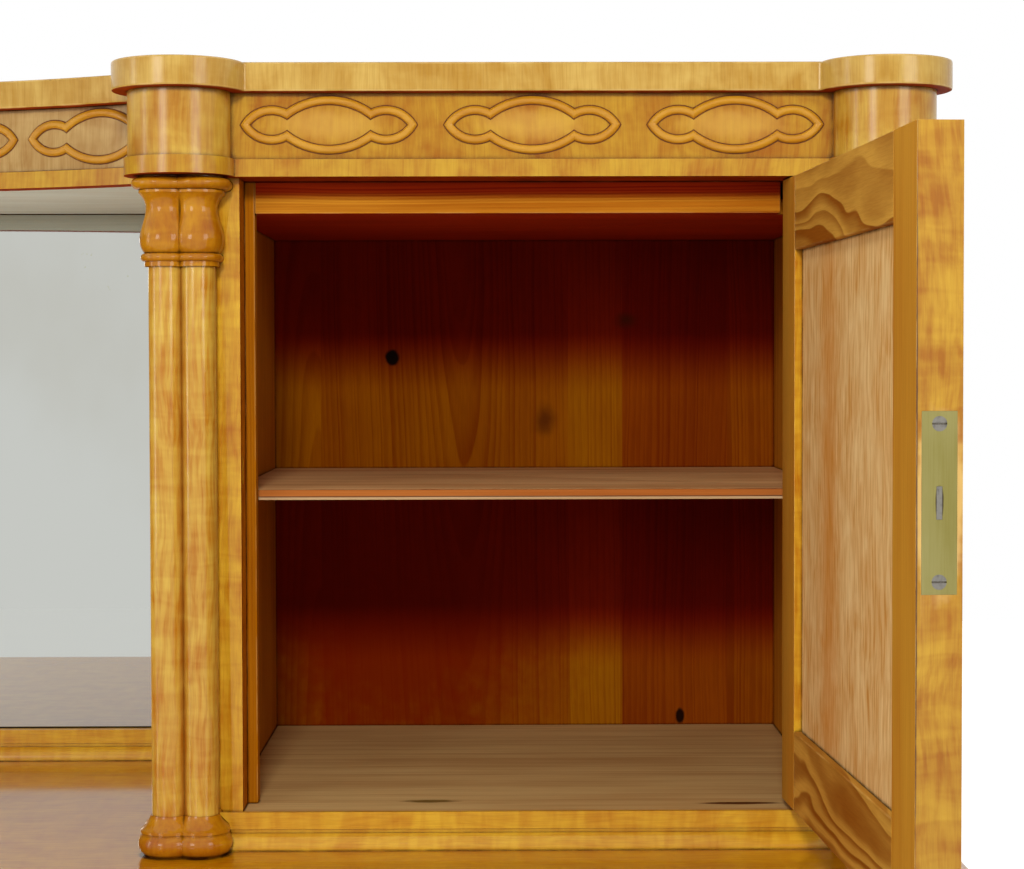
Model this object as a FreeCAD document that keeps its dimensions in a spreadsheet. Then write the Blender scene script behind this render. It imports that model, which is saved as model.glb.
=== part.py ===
"""A mirror-backed sideboard in birch, as a parametric assembly, in millimetres.

Two small cupboards stand on the ends of a deep lower cabinet, with a mirror between
them and a concave frieze above it. Clustered columns carry round projections at the
corners. The right upper door stands open, as it is shown.

Origin: the middle of the footprint, on the floor. +Z is up, the front faces -Y.
"""
import FreeCAD, Part
import math
import os
import re

from FreeCAD import Placement, Rotation, Vector

doc = FreeCAD.newDocument("Sideboard")
sheet = doc.addObject("Spreadsheet::Sheet", "Sizes")

DRIVING = {
    # Lower cabinet
    "top_width": 1790,
    "top_depth": 720,
    "top_thick": 36,
    "base_height": 881,
    "base_setback": 42,
    "plinth_height": 80,
    "plinth_ahead": 41,
    "plinth_wood": 60,
    "plinth_back_gap": 10,
    "board_thick": 22,
    "bottom_thick": 24,
    "divider_thick": 18,
    "divider_level": 704,
    "rail_height": 18,
    "rail_thick": 20,
    "shelf_level_low": 400,
    "inner_post_width": 87.25,
    "low_shelf_thick": 16,
    "low_shelf_setback": 60,
    # Upper cupboards
    "cupboard_spacing": 1180,
    "face_setback": 320,
    "opening_width": 425.5,
    "post_width": 49.25,
    "post_depth": 80,
    "inner_width": 451,
    "floor_level": 27.2,
    "floor_thick": 14,
    "ceiling_level": 466,
    "ceiling_thick": 12,
    "opening_top": 489.8,
    "back_thick": 10,
    "back_edge_board": 41.5,
    "back_wide_board": 166,
    "back_third_board": 57,
    "back_slim_board": 49,
    "back_fifth_board": 95,
    "shelf_level": 260.9,
    "shelf_thick": 8,
    "shelf_setback": 45,
    "stop_setback": 29.5,
    "stop_gap": 1.5,
    "stop_strip_width": 7.9,
    "stop_strip_depth": 14,
    # Band, frieze and cornice
    "band_height": 12.5,
    "frieze_height": 47.7,
    "cornice_height": 21,
    "band_ahead": 14,
    "frieze_ahead": 11,
    "cornice_ahead": 22,
    "frieze_wood": 16,
    "drum_ahead": 14.6,
    "drum_band_radius": 39.5,
    "drum_frieze_radius": 36.9,
    "drum_cornice_radius": 48,
    # Concave centre
    "arc_radius": 610,
    "arc_depth": 124,
    "arc_frieze_back": 3,
    "arc_cornice_ahead": 8,
    "arc_band_wood": 20,
    "soffit_thick": 10,
    # Cartouche beads, measured along the frieze and up from its middle
    "bead_radius": 3,
    "cartouche_lift": 0.9,
    "cartouche_reach": 60.3,
    "cartouche_rise": 17.8,
    "waist_place": 30.3,
    "waist_rise": 7.8,
    "lobe_place": 42.4,
    "lobe_rise": 10.6,
    "cartouche_spacing": 146.7,
    "arc_cartouche_spacing": 137,
    # Mirror
    "mirror_inset": 18,
    "glass_thick": 4,
    "glass_inset": 4,
    "glass_top_gap": 0.5,
    "mirror_board_thick": 10,
    "mirror_moulding_thick": 17,
    # Base mouldings
    "moulding_flat_ahead": 4,
    "moulding_ahead": 11,
    "moulding_flat_height": 12.5,
    "moulding_groove_height": 2.9,
    "moulding_groove_depth": 0.9,
    # Clustered columns
    "drum_spacing": 508.3,
    "column_spacing": 505,
    "column_ahead": 6,
    "lobe_offset": 11.6,
    "lobe_radius": 12.4,
    "capital_height": 64.9,
    "foot_height": 29.3,
    # Doors
    "door_thick": 26.5,
    "door_gap": 0.75,
    "door_top_gap": 1,
    "door_bottom_gap": 5.3,
    "stile_width": 57,
    "top_rail_width": 53,
    "bottom_rail_width": 57,
    "panel_recess": 6,
    "panel_thick": 12,
    "panel_housing": 8,
    "pivot_inset": 13.8,
    "pin_radius": 3,
    "pin_hold": 15,
    "pin_reach": 9,
    "pin_clearance": 0.05,
    "open_angle": 92.8,
    # Locks
    "lock_level": 277,
    "lock_plate_height": 102,
    "lock_plate_width": 20,
    "lock_plate_thick": 2,
    "lock_case_height": 76,
    "lock_case_depth": 34,
    "lock_case_thick": 12,
    "key_setback": 28,
    "bolt_height": 18.3,
    "bolt_thick": 3.2,
    "bolt_length": 26,
    "bolt_throw": 8,
    "bolt_clearance": 0.1,
    "mortise_clearance": 0.8,
    "screw_head_radius": 4.25,
    "screw_head_thick": 1.6,
    "screw_shank_radius": 1.7,
    "screw_length": 16,
    "screw_spacing": 88,
    "screw_slot_width": 1,
    "screw_slot_depth": 0.7,
    # Drawers
    "drawer_gap": 1,
    "drawer_front_thick": 22,
    "drawer_side_thick": 12,
    "drawer_bottom_thick": 8,
    "drawer_bottom_lift": 6,
    "drawer_depth": 600,
    "drawer_back_drop": 12,
    "keyhole_radius": 2.2,
    "keyhole_slot": 7,
}

DERIVED = {
    "face": "=face_setback - top_depth / 2",
    "base_face": "=base_setback - top_depth / 2",
    "back_plane": "=top_depth / 2",
    "cupboard_place": "=cupboard_spacing / 2",
    "half_opening": "=opening_width / 2",
    "post_outer": "=opening_width / 2 + post_width",
    "side_outer": "=inner_width / 2 + board_thick",
    "cupboard_depth": "=top_depth - face_setback",
    "inner_back": "=top_depth / 2 - back_thick",
    "back_last_board": ("=inner_width - back_edge_board - back_wide_board - back_third_board"
                        " - back_slim_board - back_fifth_board"),
    "band_level": "=base_height + opening_top",
    "frieze_level": "=base_height + opening_top + band_height",
    "cornice_level": "=base_height + opening_top + band_height + frieze_height",
    "column_place": "=column_spacing / 2",
    "drum_place": "=drum_spacing / 2",
    "column_line": "=face_setback - top_depth / 2 - column_ahead",
    "base_column_line": "=base_setback - top_depth / 2 - column_ahead",
    "drum_line": "=face_setback - top_depth / 2 - drum_ahead",
    "base_drum_line": "=base_setback - top_depth / 2 - drum_ahead",
    "arc_centre": "=face_setback - top_depth / 2 + arc_depth - arc_radius",
    "niche_half": "=cupboard_spacing / 2 - inner_width / 2 - board_thick",
    "arc_half": "=cupboard_spacing / 2 - opening_width / 2 - post_width",
    "mirror_plane": "=top_depth / 2 - mirror_inset",
    "inner_post_end": "=cupboard_spacing / 2 - opening_width / 2 - inner_post_width",
    "top_level": "=base_height - top_thick",
    "low_floor": "=plinth_height + bottom_thick",
    "key_depth": "=(door_thick - lock_case_thick) / 2",
}

for row, (alias, value) in enumerate(list(DRIVING.items()) + list(DERIVED.items()), start=1):
    sheet.set(f"A{row}", alias)
    sheet.set(f"B{row}", str(value))
    sheet.setAlias(f"B{row}", alias)
doc.recompute()


class Sizes:
    """The sheet's values by name, for shapes that are worked out here."""

    def __getattr__(self, alias):
        return float(sheet.get(alias))


size = Sizes()
ALIASES = set(DRIVING) | set(DERIVED)
SIDES = {"right": 1, "left": -1}
subparts = []


def bind(piece, sizes):
    """Ties each property of a piece to an expression in the sheet's names."""
    for prop, text in sizes.items():
        linked = re.sub(r"[a-z_]+", lambda word: "Sizes." + word[0] if word[0] in ALIASES else word[0], text)
        piece.setExpression(prop, linked)


def place(piece, x, y, z):
    bind(piece, {"Placement.Base.x": x, "Placement.Base.y": y, "Placement.Base.z": z})


def board(name, middle, front, under, length, depth, height):
    """A board by its middle in X, its front face in Y and its underside."""
    piece = doc.addObject("Part::Box", name)
    bind(piece, {"Length": length, "Width": depth, "Height": height})
    place(piece, f"{middle} - ({length}) / 2", front, under)
    return piece


def rod(name, x, y, under, radius, height):
    """An upright cylinder."""
    piece = doc.addObject("Part::Cylinder", name)
    bind(piece, {"Radius": radius, "Height": height})
    place(piece, x, y, under)
    return piece


def group(name, members):
    piece = doc.addObject("Part::Compound", name)
    piece.Links = members
    return piece


def fused(name, members):
    piece = doc.addObject("Part::MultiFuse", name)
    piece.Shapes = members
    piece.Refine = True
    return piece


def cut(name, base, tools):
    piece = doc.addObject("Part::Cut", name)
    piece.Base = base
    piece.Tool = tools[0] if len(tools) == 1 else group(name + "_tools", tools)
    return piece


def common(name, first, second):
    piece = doc.addObject("Part::MultiCommon", name)
    piece.Shapes = [first, second]
    return piece


def feature(name, shape):
    """A piece whose shape is worked out from the sheet's values."""
    piece = doc.addObject("Part::Feature", name)
    piece.Shape = shape
    return piece


def subpart(piece, label):
    piece.Label = label
    subparts.append(piece)
    return piece


def at(side, place_text):
    """A place in X, measured from the middle of the cupboard on that side, outwards."""
    return f"{SIDES[side]} * (cupboard_place + ({place_text}))"


# Clustered columns

capital_radius_shares = (1.43, 1.21, 1.43, 1.12, 1.53, 1.97, 1.6)
capital_level_shares = (0, 0.055, 0.145, 0.38, 0.66, 0.81, 0.84, 0.846, 0.914, 0.983)
foot_radius_shares = (1.81, 1.4, 1.6, 1.68, 1.08)
foot_level_shares = (0.29, 0.53, 0.58, 0.65)
foot_hollow_share = 0.4


def turned_lobe(outline):
    """One turned lobe about the Z axis. The outline runs upwards as lists of points:
    two for a straight line, three for an arc, more for a smooth curve."""
    start, end = outline[0][0], outline[-1][-1]
    edges = [Part.makeLine(Vector(0, 0, start[1]), Vector(start[0], 0, start[1]))]
    for points in outline:
        corners = [Vector(radius, 0, level) for radius, level in points]
        if len(corners) == 2:
            edges.append(Part.makeLine(*corners))
        elif len(corners) == 3:
            edges.append(Part.Arc(*corners).toShape())
        else:
            curve = Part.BSplineCurve()
            curve.interpolate(corners)
            edges.append(curve.toShape())
    edges.append(Part.makeLine(Vector(end[0], 0, end[1]), Vector(0, 0, end[1])))
    edges.append(Part.makeLine(Vector(0, 0, end[1]), Vector(0, 0, start[1])))
    return Part.Face(Part.Wire(edges)).revolve(Vector(), Vector(0, 0, 1), 360)


def cluster(outline):
    """Four lobes at the corners of a square, round a square core. One quarter is made
    between the two middle planes and turned to the other three places."""
    offset = size.lobe_offset
    low, high = outline[0][0][1], outline[-1][-1][1]
    lobe = turned_lobe(outline).translated(Vector(offset, offset, 0))
    reach = lobe.BoundBox.XMax + offset
    quarter = lobe.common(Part.makeBox(reach, reach, high - low, Vector(0, 0, low)))
    quarter = quarter.fuse(Part.makeBox(offset, offset, high - low, Vector(0, 0, low)))
    quarters = []
    for number in range(4):
        turned = quarter.copy()
        turned.rotate(Vector(), Vector(0, 0, 1), 90 * number)
        quarters.append(turned)
    return quarters[0].multiFuse(quarters[1:]).removeSplitter()


def capital_outline():
    """A ring under a full bulge, a hollow neck and a torus, as shares of the shaft's
    radius and of the capital's height."""
    shaft, high = size.lobe_radius, size.capital_height
    ring, fillet, bulge, neck, lip, torus, pad = (shaft * share for share in capital_radius_shares)
    (fillet_low, ring_low, ring_high, bulge_mid, neck_mid, lip_low, lip_high,
     torus_low, torus_mid, torus_high) = (high * share for share in capital_level_shares)
    return [
        [(fillet, fillet_low), (fillet, ring_low)],
        [(fillet, ring_low), (ring, (ring_low + ring_high) / 2), (fillet, ring_high)],
        [(fillet, ring_high), (bulge, bulge_mid), (neck, neck_mid), (lip, lip_low)],
        [(lip, lip_low), (lip, lip_high)],
        [(lip, lip_high), (pad, torus_low)],
        [(pad, torus_low), (torus, torus_mid), (pad, torus_high)],
        [(pad, torus_high), (pad, high)],
    ]


def foot_outline():
    """A torus on the ground, a groove, and a hollow rising to the shaft."""
    shaft, high = size.lobe_radius, size.foot_height
    torus, tread, neck, ridge, top = (shaft * share for share in foot_radius_shares)
    torus_mid, torus_high, groove_high, ridge_high = (high * share for share in foot_level_shares)
    hollow = (top + (ridge - top) * foot_hollow_share, (ridge_high + high) / 2)
    return [
        [(tread, 0), (torus, torus_mid), (neck, torus_high)],
        [(neck, torus_high), (neck, groove_high)],
        [(neck, groove_high), (ridge, groove_high)],
        [(ridge, groove_high), (ridge, ridge_high)],
        [(ridge, ridge_high), hollow, (top, high)],
    ]


def columns(prefix, line, ground, height):
    """The four columns of one storey: shafts, capitals and feet, as three pieces."""
    places = [Vector(hand * (size.cupboard_place + end * size.column_place), line, ground)
              for hand in (-1, 1) for end in (-1, 1)]
    shaft_top = height - size.capital_height
    shaft = cluster([[(size.lobe_radius, size.foot_height), (size.lobe_radius, shaft_top)]])
    foot = cluster(foot_outline())
    capital = cluster(capital_outline()).translated(Vector(0, 0, shaft_top))
    made = {}
    for part_name, shape in (("shafts", shaft), ("capitals", capital), ("feet", foot)):
        copies = Part.makeCompound([shape.translated(spot) for spot in places])
        made[part_name] = feature(f"{prefix}_{part_name}_set", copies)
    return made


upper_columns = columns("column", size.column_line, size.base_height, size.opening_top)
lower_columns = columns("base_column", size.base_column_line, size.plinth_height,
                        size.divider_level - size.plinth_height)
subpart(upper_columns["shafts"], "column_shafts")
subpart(upper_columns["capitals"], "column_capitals")
subpart(upper_columns["feet"], "column_feet")
subpart(lower_columns["shafts"], "base_column_shafts")
subpart(group("base_column_ends_group", [lower_columns["capitals"], lower_columns["feet"]]),
        "base_column_ends")
upper_cluster = list(upper_columns.values())
lower_cluster = list(lower_columns.values())


# Lower cabinet

def plinth():
    depth = "(back_plane - base_face + plinth_ahead - plinth_back_gap)"
    width = "2 * (cupboard_place + drum_place + drum_frieze_radius)"
    outside = board("plinth_outside", "0", "base_face - plinth_ahead", "0", width, depth, "plinth_height")
    inside_front = "base_face - plinth_ahead + plinth_wood"
    inside = board("plinth_inside", "0", inside_front, "0", f"{width} - 2 * plinth_wood",
                   f"{depth} - 2 * plinth_wood", "plinth_height")
    bearer = board("plinth_bearer", "0", inside_front, "0", "2 * plinth_wood",
                   f"{depth} - 2 * plinth_wood", "plinth_height")
    subpart(fused("plinth_whole", [cut("plinth_frame", outside, [inside]), bearer]), "plinth")


def cabinet_boards():
    """Bottom, sides, partitions, posts and back. Returns the posts before they are let
    round the columns."""
    height = "top_level - low_floor"
    depth = "back_plane - back_thick - base_face - post_depth"
    behind_posts = "base_face + post_depth"
    whole = "2 * (cupboard_place + side_outer)"
    bottom = board("bottom_board", "0", "base_face", "plinth_height", whole,
                   "back_plane - back_thick - base_face", "bottom_thick")
    sides, partitions, posts = [], [], []
    for side in SIDES:
        sides.append(board(f"{side}_base_side", at(side, "side_outer - board_thick / 2"), behind_posts,
                           "low_floor", "board_thick", depth, height))
        partitions.append(board(f"{side}_partition", at(side, "board_thick / 2 - side_outer"),
                                behind_posts, "low_floor", "board_thick", depth, height))
        posts.append(board(f"{side}_outer_post", at(side, "half_opening + post_width / 2"), "base_face",
                           "low_floor", "post_width", "post_depth", height))
        posts.append(board(f"{side}_inner_post", at(side, "- half_opening - inner_post_width / 2"),
                           "base_face", "low_floor", "inner_post_width", "post_depth", height))
    subpart(group("base_sides_group", sides), "base_sides")
    subpart(group("partitions_group", partitions), "base_partitions")
    post_set = group("base_posts_group", posts)
    subpart(cut("base_posts_fitted", post_set, lower_cluster), "base_posts")
    subpart(board("base_back_board", "0", "back_plane - back_thick", "plinth_height", whole, "back_thick",
                  "top_level - plinth_height"), "base_back")
    return post_set, bottom


def drums(post_set):
    """Round blocks above the lower columns, let on to the posts."""
    blocks = []
    for side in SIDES:
        for end, sign in (("outer", "+"), ("inner", "-")):
            x = at(side, f"{sign} drum_place")
            blocks.append(fused(f"{side}_{end}_drum", [
                rod(f"{side}_{end}_drum_band", x, "base_drum_line", "divider_level",
                    "drum_band_radius", "band_height"),
                rod(f"{side}_{end}_drum_block", x, "base_drum_line", "divider_level",
                    "drum_frieze_radius", "top_level - divider_level")]))
    subpart(cut("base_drums_fitted", group("base_drums_group", blocks), [post_set]), "base_drums")


# Each bay of the lower cabinet: its middle, its opening and the room behind its posts
BAYS = {
    "right": ("cupboard_place", "opening_width", "inner_width"),
    "left": ("- cupboard_place", "opening_width", "inner_width"),
    "centre": ("0", "2 * inner_post_end", "2 * (cupboard_place - side_outer)"),
}


def bay_boards():
    """Dividers under the drawers, rails over them, and a shelf in each bay."""
    dividers, rails, shelves = [], [], []
    for bay, (middle, opening, room) in BAYS.items():
        back_part = board(f"{bay}_divider_back", middle, "base_face + post_depth", "divider_level", room,
                          "back_plane - back_thick - base_face - post_depth", "divider_thick")
        front_part = board(f"{bay}_divider_front", middle, "base_face", "divider_level", opening,
                           "post_depth", "divider_thick")
        dividers.append(fused(f"{bay}_divider", [back_part, front_part]))
        rails.append(board(f"{bay}_top_rail", middle, "base_face", "top_level - rail_height", opening,
                           "rail_thick", "rail_height"))
        shelves.append(board(f"{bay}_low_shelf", middle, "base_face + post_depth + low_shelf_setback",
                             "shelf_level_low", room,
                             "inner_back - base_face - post_depth - low_shelf_setback",
                             "low_shelf_thick"))
    return dividers, rails, shelves


def drawer(bay, middle, opening):
    """A drawer as its boards: front with a keyhole, sides, back and bottom."""
    under = "divider_level + divider_thick + drawer_gap"
    height = "(top_level - rail_height - divider_level - divider_thick - 2 * drawer_gap)"
    front_y = "base_face - frieze_ahead"
    back_y = f"{front_y} + drawer_front_thick"
    box_width = f"({opening} - 2 * drawer_gap)"
    front = board(f"{bay}_drawer_front", middle, front_y, under, box_width, "drawer_front_thick", height)
    keyhole_level = f"{under} + {height} / 2"
    eye = rod(f"{bay}_drawer_eye", middle, f"{front_y} + 2 * drawer_front_thick", keyhole_level,
              "keyhole_radius", "3 * drawer_front_thick")
    eye.Placement.Rotation = Rotation(Vector(1, 0, 0), 90)
    slot = board(f"{bay}_drawer_slot", middle, f"{front_y} - drawer_front_thick",
                 f"{keyhole_level} - keyhole_slot", "keyhole_radius", "3 * drawer_front_thick",
                 "keyhole_slot")
    pieces = [cut(f"{bay}_drawer_face", front, [eye, slot])]
    for name, sign in (("first", "-"), ("second", "+")):
        x = f"{middle} {sign} ({box_width} / 2 - drawer_side_thick / 2)"
        pieces.append(board(f"{bay}_drawer_{name}_side", x, back_y, under, "drawer_side_thick",
                            "drawer_depth", height))
    inside = f"{box_width} - 2 * drawer_side_thick"
    pieces.append(board(f"{bay}_drawer_back", middle, f"{back_y} + drawer_depth - drawer_side_thick",
                        f"{under} + drawer_bottom_lift + drawer_bottom_thick", inside, "drawer_side_thick",
                        f"{height} - drawer_bottom_lift - drawer_bottom_thick - drawer_back_drop"))
    pieces.append(board(f"{bay}_drawer_bottom", middle, back_y, f"{under} + drawer_bottom_lift", inside,
                        "drawer_depth", "drawer_bottom_thick"))
    subpart(group(f"{bay}_drawer_group", pieces), f"{bay}_drawer")


# Doors

def door(prefix, hand, pivot_x, face_line, bottom, height, width, key_level, free_edge_tools=()):
    """A framed door hung on pins in its top and bottom, in its closed place. hand is 1
    where it hangs on its +X edge. Returns its pieces and the holes that its pins turn in."""
    mid_y = f"{face_line} + door_thick / 2"

    def along(distance):
        """A place in X, measured from the pivot towards the free edge."""
        return f"{pivot_x} - {hand} * ({distance})"

    def upright(name, distance, length, thick="door_thick", front=face_line, under=bottom, tall=height):
        return board(f"{prefix}_{name}", along(distance), front, under, length, thick, tall)

    rounding = common(f"{prefix}_edge", upright("edge_block", "- pivot_inset / 2", "pivot_inset"),
                      rod(f"{prefix}_edge_round", pivot_x, mid_y, bottom, "pivot_inset", height))
    hanging = fused(f"{prefix}_hanging", [
        rounding, upright("hanging_block", "(stile_width - pivot_inset) / 2", "stile_width - pivot_inset")])
    free = upright("free", f"({width}) - pivot_inset - stile_width / 2", "stile_width")
    frame_width = f"({width}) - 2 * stile_width"
    middle = f"({width}) / 2 - pivot_inset"
    rails = [upright("top", middle, frame_width, under=f"{bottom} + {height} - top_rail_width",
                     tall="top_rail_width"),
             upright("low", middle, frame_width, tall="bottom_rail_width")]
    panel = upright("field", middle, f"{frame_width} + 2 * panel_housing", "panel_thick",
                    f"{face_line} + door_thick - panel_recess - panel_thick",
                    f"{bottom} + bottom_rail_width - panel_housing",
                    f"{height} - bottom_rail_width - top_rail_width + 2 * panel_housing")
    key_place = along(f"({width}) - pivot_inset - key_setback")
    eye = rod(f"{prefix}_key_eye", key_place, f"{face_line} + key_depth", key_level, "keyhole_radius",
              "2 * key_depth")
    eye.Placement.Rotation = Rotation(Vector(1, 0, 0), 90)
    slot = upright("key_slot", f"({width}) - pivot_inset - key_setback", "keyhole_radius", "2 * key_depth",
                   f"{face_line} - key_depth", f"{key_level} - keyhole_slot", "keyhole_slot")
    pins, holes = [], []
    for name, start, length in (
            ("low", f"{bottom} - door_bottom_gap - pin_reach", "pin_reach + door_bottom_gap + pin_hold"),
            ("high", f"{bottom} + {height} - pin_hold", "pin_hold + door_top_gap + pin_reach")):
        pins.append(rod(f"{prefix}_{name}_pin", pivot_x, mid_y, start, "pin_radius", length))
        holes.append(rod(f"{prefix}_{name}_hole", pivot_x, mid_y, f"{start} - pin_clearance",
                         "pin_radius + pin_clearance", f"{length} + 2 * pin_clearance"))
    return {"hanging": cut(f"{prefix}_hanging_stile", hanging, pins + [panel]),
            "free": cut(f"{prefix}_free_stile", free, [panel, eye, slot] + list(free_edge_tools)),
            "rails": cut(f"{prefix}_rails_cut", group(f"{prefix}_rails_group", rails), [panel]),
            "panel": panel, "pins": pins, "holes": holes}


def lower_doors():
    """One door in each side bay and a pair in the centre. Returns the holes for their pins."""
    bottom = "low_floor + door_bottom_gap"
    height = "(divider_level - low_floor - door_bottom_gap - door_top_gap)"
    side_width, centre_width = "opening_width - 2 * door_gap", "inner_post_end - 3 * door_gap / 2"
    holes = []
    for side, hand in SIDES.items():
        for name, pivot_x, width in (
                (f"base_{side}_door", at(side, "half_opening - door_gap - pivot_inset"), side_width),
                (f"base_centre_{side}_door", f"{hand} * (inner_post_end - door_gap - pivot_inset)",
                 centre_width)):
            made = door(name, hand, pivot_x, "base_face", bottom, height, width,
                        f"{bottom} + {height} / 2")
            pieces = [made["hanging"], made["free"], made["rails"], made["panel"]] + made["pins"]
            subpart(group(f"{name}_group", pieces), name)
            holes += made["holes"]
    return holes


# Upper cupboards

def lock(side, pivot_x, width):
    """A mortise lock in the free edge: its plate and case, its screws, its bolt, and the
    tools that let it into the stile."""
    hand = SIDES[side]
    edge = f"({width}) - pivot_inset"
    middle_y, level = "face + door_thick / 2", "base_height + lock_level"

    def let_in(name, depth, length, thick, tall):
        """A block whose outer end is at a depth behind the free edge."""
        return board(f"{side}_lock_{name}", f"{pivot_x} - {hand} * ({edge} - ({depth}) - ({length}) / 2)",
                     f"{middle_y} - ({thick}) / 2", f"{level} - ({tall}) / 2", length, thick, tall)

    plate = let_in("plate_block", "0", "lock_plate_thick", "lock_plate_width", "lock_plate_height")
    case = let_in("case_block", "lock_plate_thick", "lock_case_depth", "lock_case_thick", "lock_case_height")
    bolt = let_in("bolt_block", "0", "bolt_length", "bolt_thick", "bolt_height")
    channel = let_in("channel", "0", "bolt_length + bolt_clearance", "bolt_thick + 2 * bolt_clearance",
                     "bolt_height + 2 * bolt_clearance")
    screws, seats = [], []
    for name, sign in (("low", "-"), ("high", "+")):
        spot = f"{level} {sign} screw_spacing / 2"
        turned = []
        for part_name, radius, depth in (("head", "screw_head_radius", "screw_head_thick"),
                                         ("shank", "screw_shank_radius", "screw_length")):
            piece = rod(f"{side}_{name}_screw_{part_name}", "0", "0", "0", radius, depth)
            piece.Placement.Rotation = Rotation(Vector(0, 1, 0), 90 * hand)
            place(piece, f"{pivot_x} - {hand} * ({edge})", middle_y, spot)
            turned.append(piece)
        seat = fused(f"{side}_{name}_screw_seat", turned)
        slot = board(f"{side}_{name}_screw_slot", f"{pivot_x} - {hand} * ({edge})",
                     f"{middle_y} - screw_head_radius", f"{spot} - screw_slot_width / 2",
                     "2 * screw_slot_depth", "2 * screw_head_radius", "screw_slot_width")
        screws.append(cut(f"{side}_{name}_screw", seat, [slot]))
        seats.append(seat)
    plate_cut = cut(f"{side}_plate", plate, seats + [channel])
    case_cut = cut(f"{side}_case", case, [channel])
    return {"body": [plate_cut, case_cut], "screws": screws, "bolt": bolt,
            "let_in": [plate, case] + seats}


def swung(name, members, pivot_x, angle):
    """Pieces turned together about the pivot of an upper door."""
    piece = group(name, members)
    pivot_y = "(face + door_thick / 2)"
    piece.Placement = Placement(Vector(), Rotation(Vector(0, 0, 1), 1))
    bind(piece, {"Placement.Rotation.Angle": angle})
    place(piece, f"({pivot_x}) * (1 - cos({angle})) + {pivot_y} * sin({angle})",
          f"{pivot_y} * (1 - cos({angle})) - ({pivot_x}) * sin({angle})", "0")
    return piece


def upper_door(side):
    """The right door stands open and the left one is shut. Returns the holes for its pins."""
    hand = SIDES[side]
    pivot_x = at(side, "half_opening - door_gap - pivot_inset")
    width = "opening_width - 2 * door_gap"
    bottom = "base_height + floor_level + door_bottom_gap"
    height = "(opening_top - floor_level - door_bottom_gap - door_top_gap)"
    fitted = lock(side, pivot_x, width)
    made = door(f"{side}_door", hand, pivot_x, "face", bottom, height, width,
                "base_height + lock_level", fitted["let_in"])
    if side == "right":
        nodes = {"door_stiles": [made["hanging"], made["free"]], "door_rails": [made["rails"]],
                 "door_panel": [made["panel"]], "door_pins": made["pins"],
                 "door_lock": fitted["body"], "door_screws": fitted["screws"],
                 "door_bolt": [fitted["bolt"]]}
        for name, members in nodes.items():
            subpart(swung(f"{side}_{name}_swung", members, pivot_x, "open_angle * 1deg"), f"{side}_{name}")
    else:
        nodes = {"door_frame": [made["hanging"], made["free"], made["rails"]] + made["pins"],
                 "door_panel": [made["panel"]], "door_lock": fitted["body"] + fitted["screws"],
                 "door_bolt": [fitted["bolt"]]}
        for name, members in nodes.items():
            subpart(group(f"{side}_{name}_group", members), f"{side}_{name}")
    return made["holes"]


def two_part_board(name, side, under, thick, front):
    """A board that fits between the posts in front and the sides behind them."""
    front_part = board(f"{name}_front", at(side, "0"), front, under, "opening_width",
                       f"face + post_depth - ({front})", thick)
    back_part = board(f"{name}_back", at(side, "0"), "face + post_depth", under, "inner_width",
                      "inner_back - face - post_depth", thick)
    return fused(name, [front_part, back_part])


# Board widths of a cupboard's back, from the mirror's side outwards
BACK_BOARDS = ("back_edge_board", "back_wide_board", "back_third_board", "back_slim_board",
               "back_fifth_board", "back_last_board")


def cupboard(side):
    """The posts, sides and back of one upper cupboard."""
    posts, sides = [], []
    for end, sign in (("outer", "+"), ("inner", "-")):
        posts.append(board(f"{side}_{end}_upper_post", at(side, f"{sign} (half_opening + post_width / 2)"),
                           "face", "base_height", "post_width", "post_depth", "opening_top"))
        sides.append(board(f"{side}_{end}_side", at(side, f"{sign} (side_outer - board_thick / 2)"),
                           "face + post_depth", "base_height", "board_thick",
                           "cupboard_depth - post_depth", "opening_top"))
    mortise = board(f"{side}_mortise", at(side, "- half_opening"),
                    "face + door_thick / 2 - bolt_thick / 2 - mortise_clearance",
                    "base_height + lock_level - bolt_height / 2 - mortise_clearance",
                    "2 * (bolt_throw + mortise_clearance)", "bolt_thick + 2 * mortise_clearance",
                    "bolt_height + 2 * mortise_clearance")
    subpart(cut(f"{side}_posts_fitted", group(f"{side}_posts_group", posts), upper_cluster + [mortise]),
            f"{side}_posts")
    subpart(group(f"{side}_sides_group", sides), f"{side}_sides")
    boards = []
    start = "- inner_width / 2"
    for number, width in enumerate(BACK_BOARDS):
        boards.append(board(f"{side}_back_board_{number}", at(side, f"{start} + {width} / 2"), "inner_back",
                            "base_height", width, "back_thick", "opening_top"))
        start = f"{start} + {width}"
    subpart(group(f"{side}_back_group", boards), f"{side}_back_boards")


def cupboard_boards(holes):
    """The floor, ceiling and shelf of both upper cupboards, with the pin holes in the floors."""
    for name, under, thick, front in (
            ("floors", "base_height + floor_level - floor_thick", "floor_thick", "face"),
            ("ceilings", "base_height + ceiling_level", "ceiling_thick", "face + stop_setback + rail_thick"),
            ("shelves", "base_height + shelf_level - shelf_thick", "shelf_thick", "face + shelf_setback")):
        pair = group(f"{name}_pair", [two_part_board(f"{side}_{name}", side, under, thick, front)
                                      for side in SIDES])
        subpart(cut(f"{name}_fitted", pair, holes) if name == "floors" else pair, f"cupboard_{name}")


round_mid_shares = (0.82, 0.58)


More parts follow.
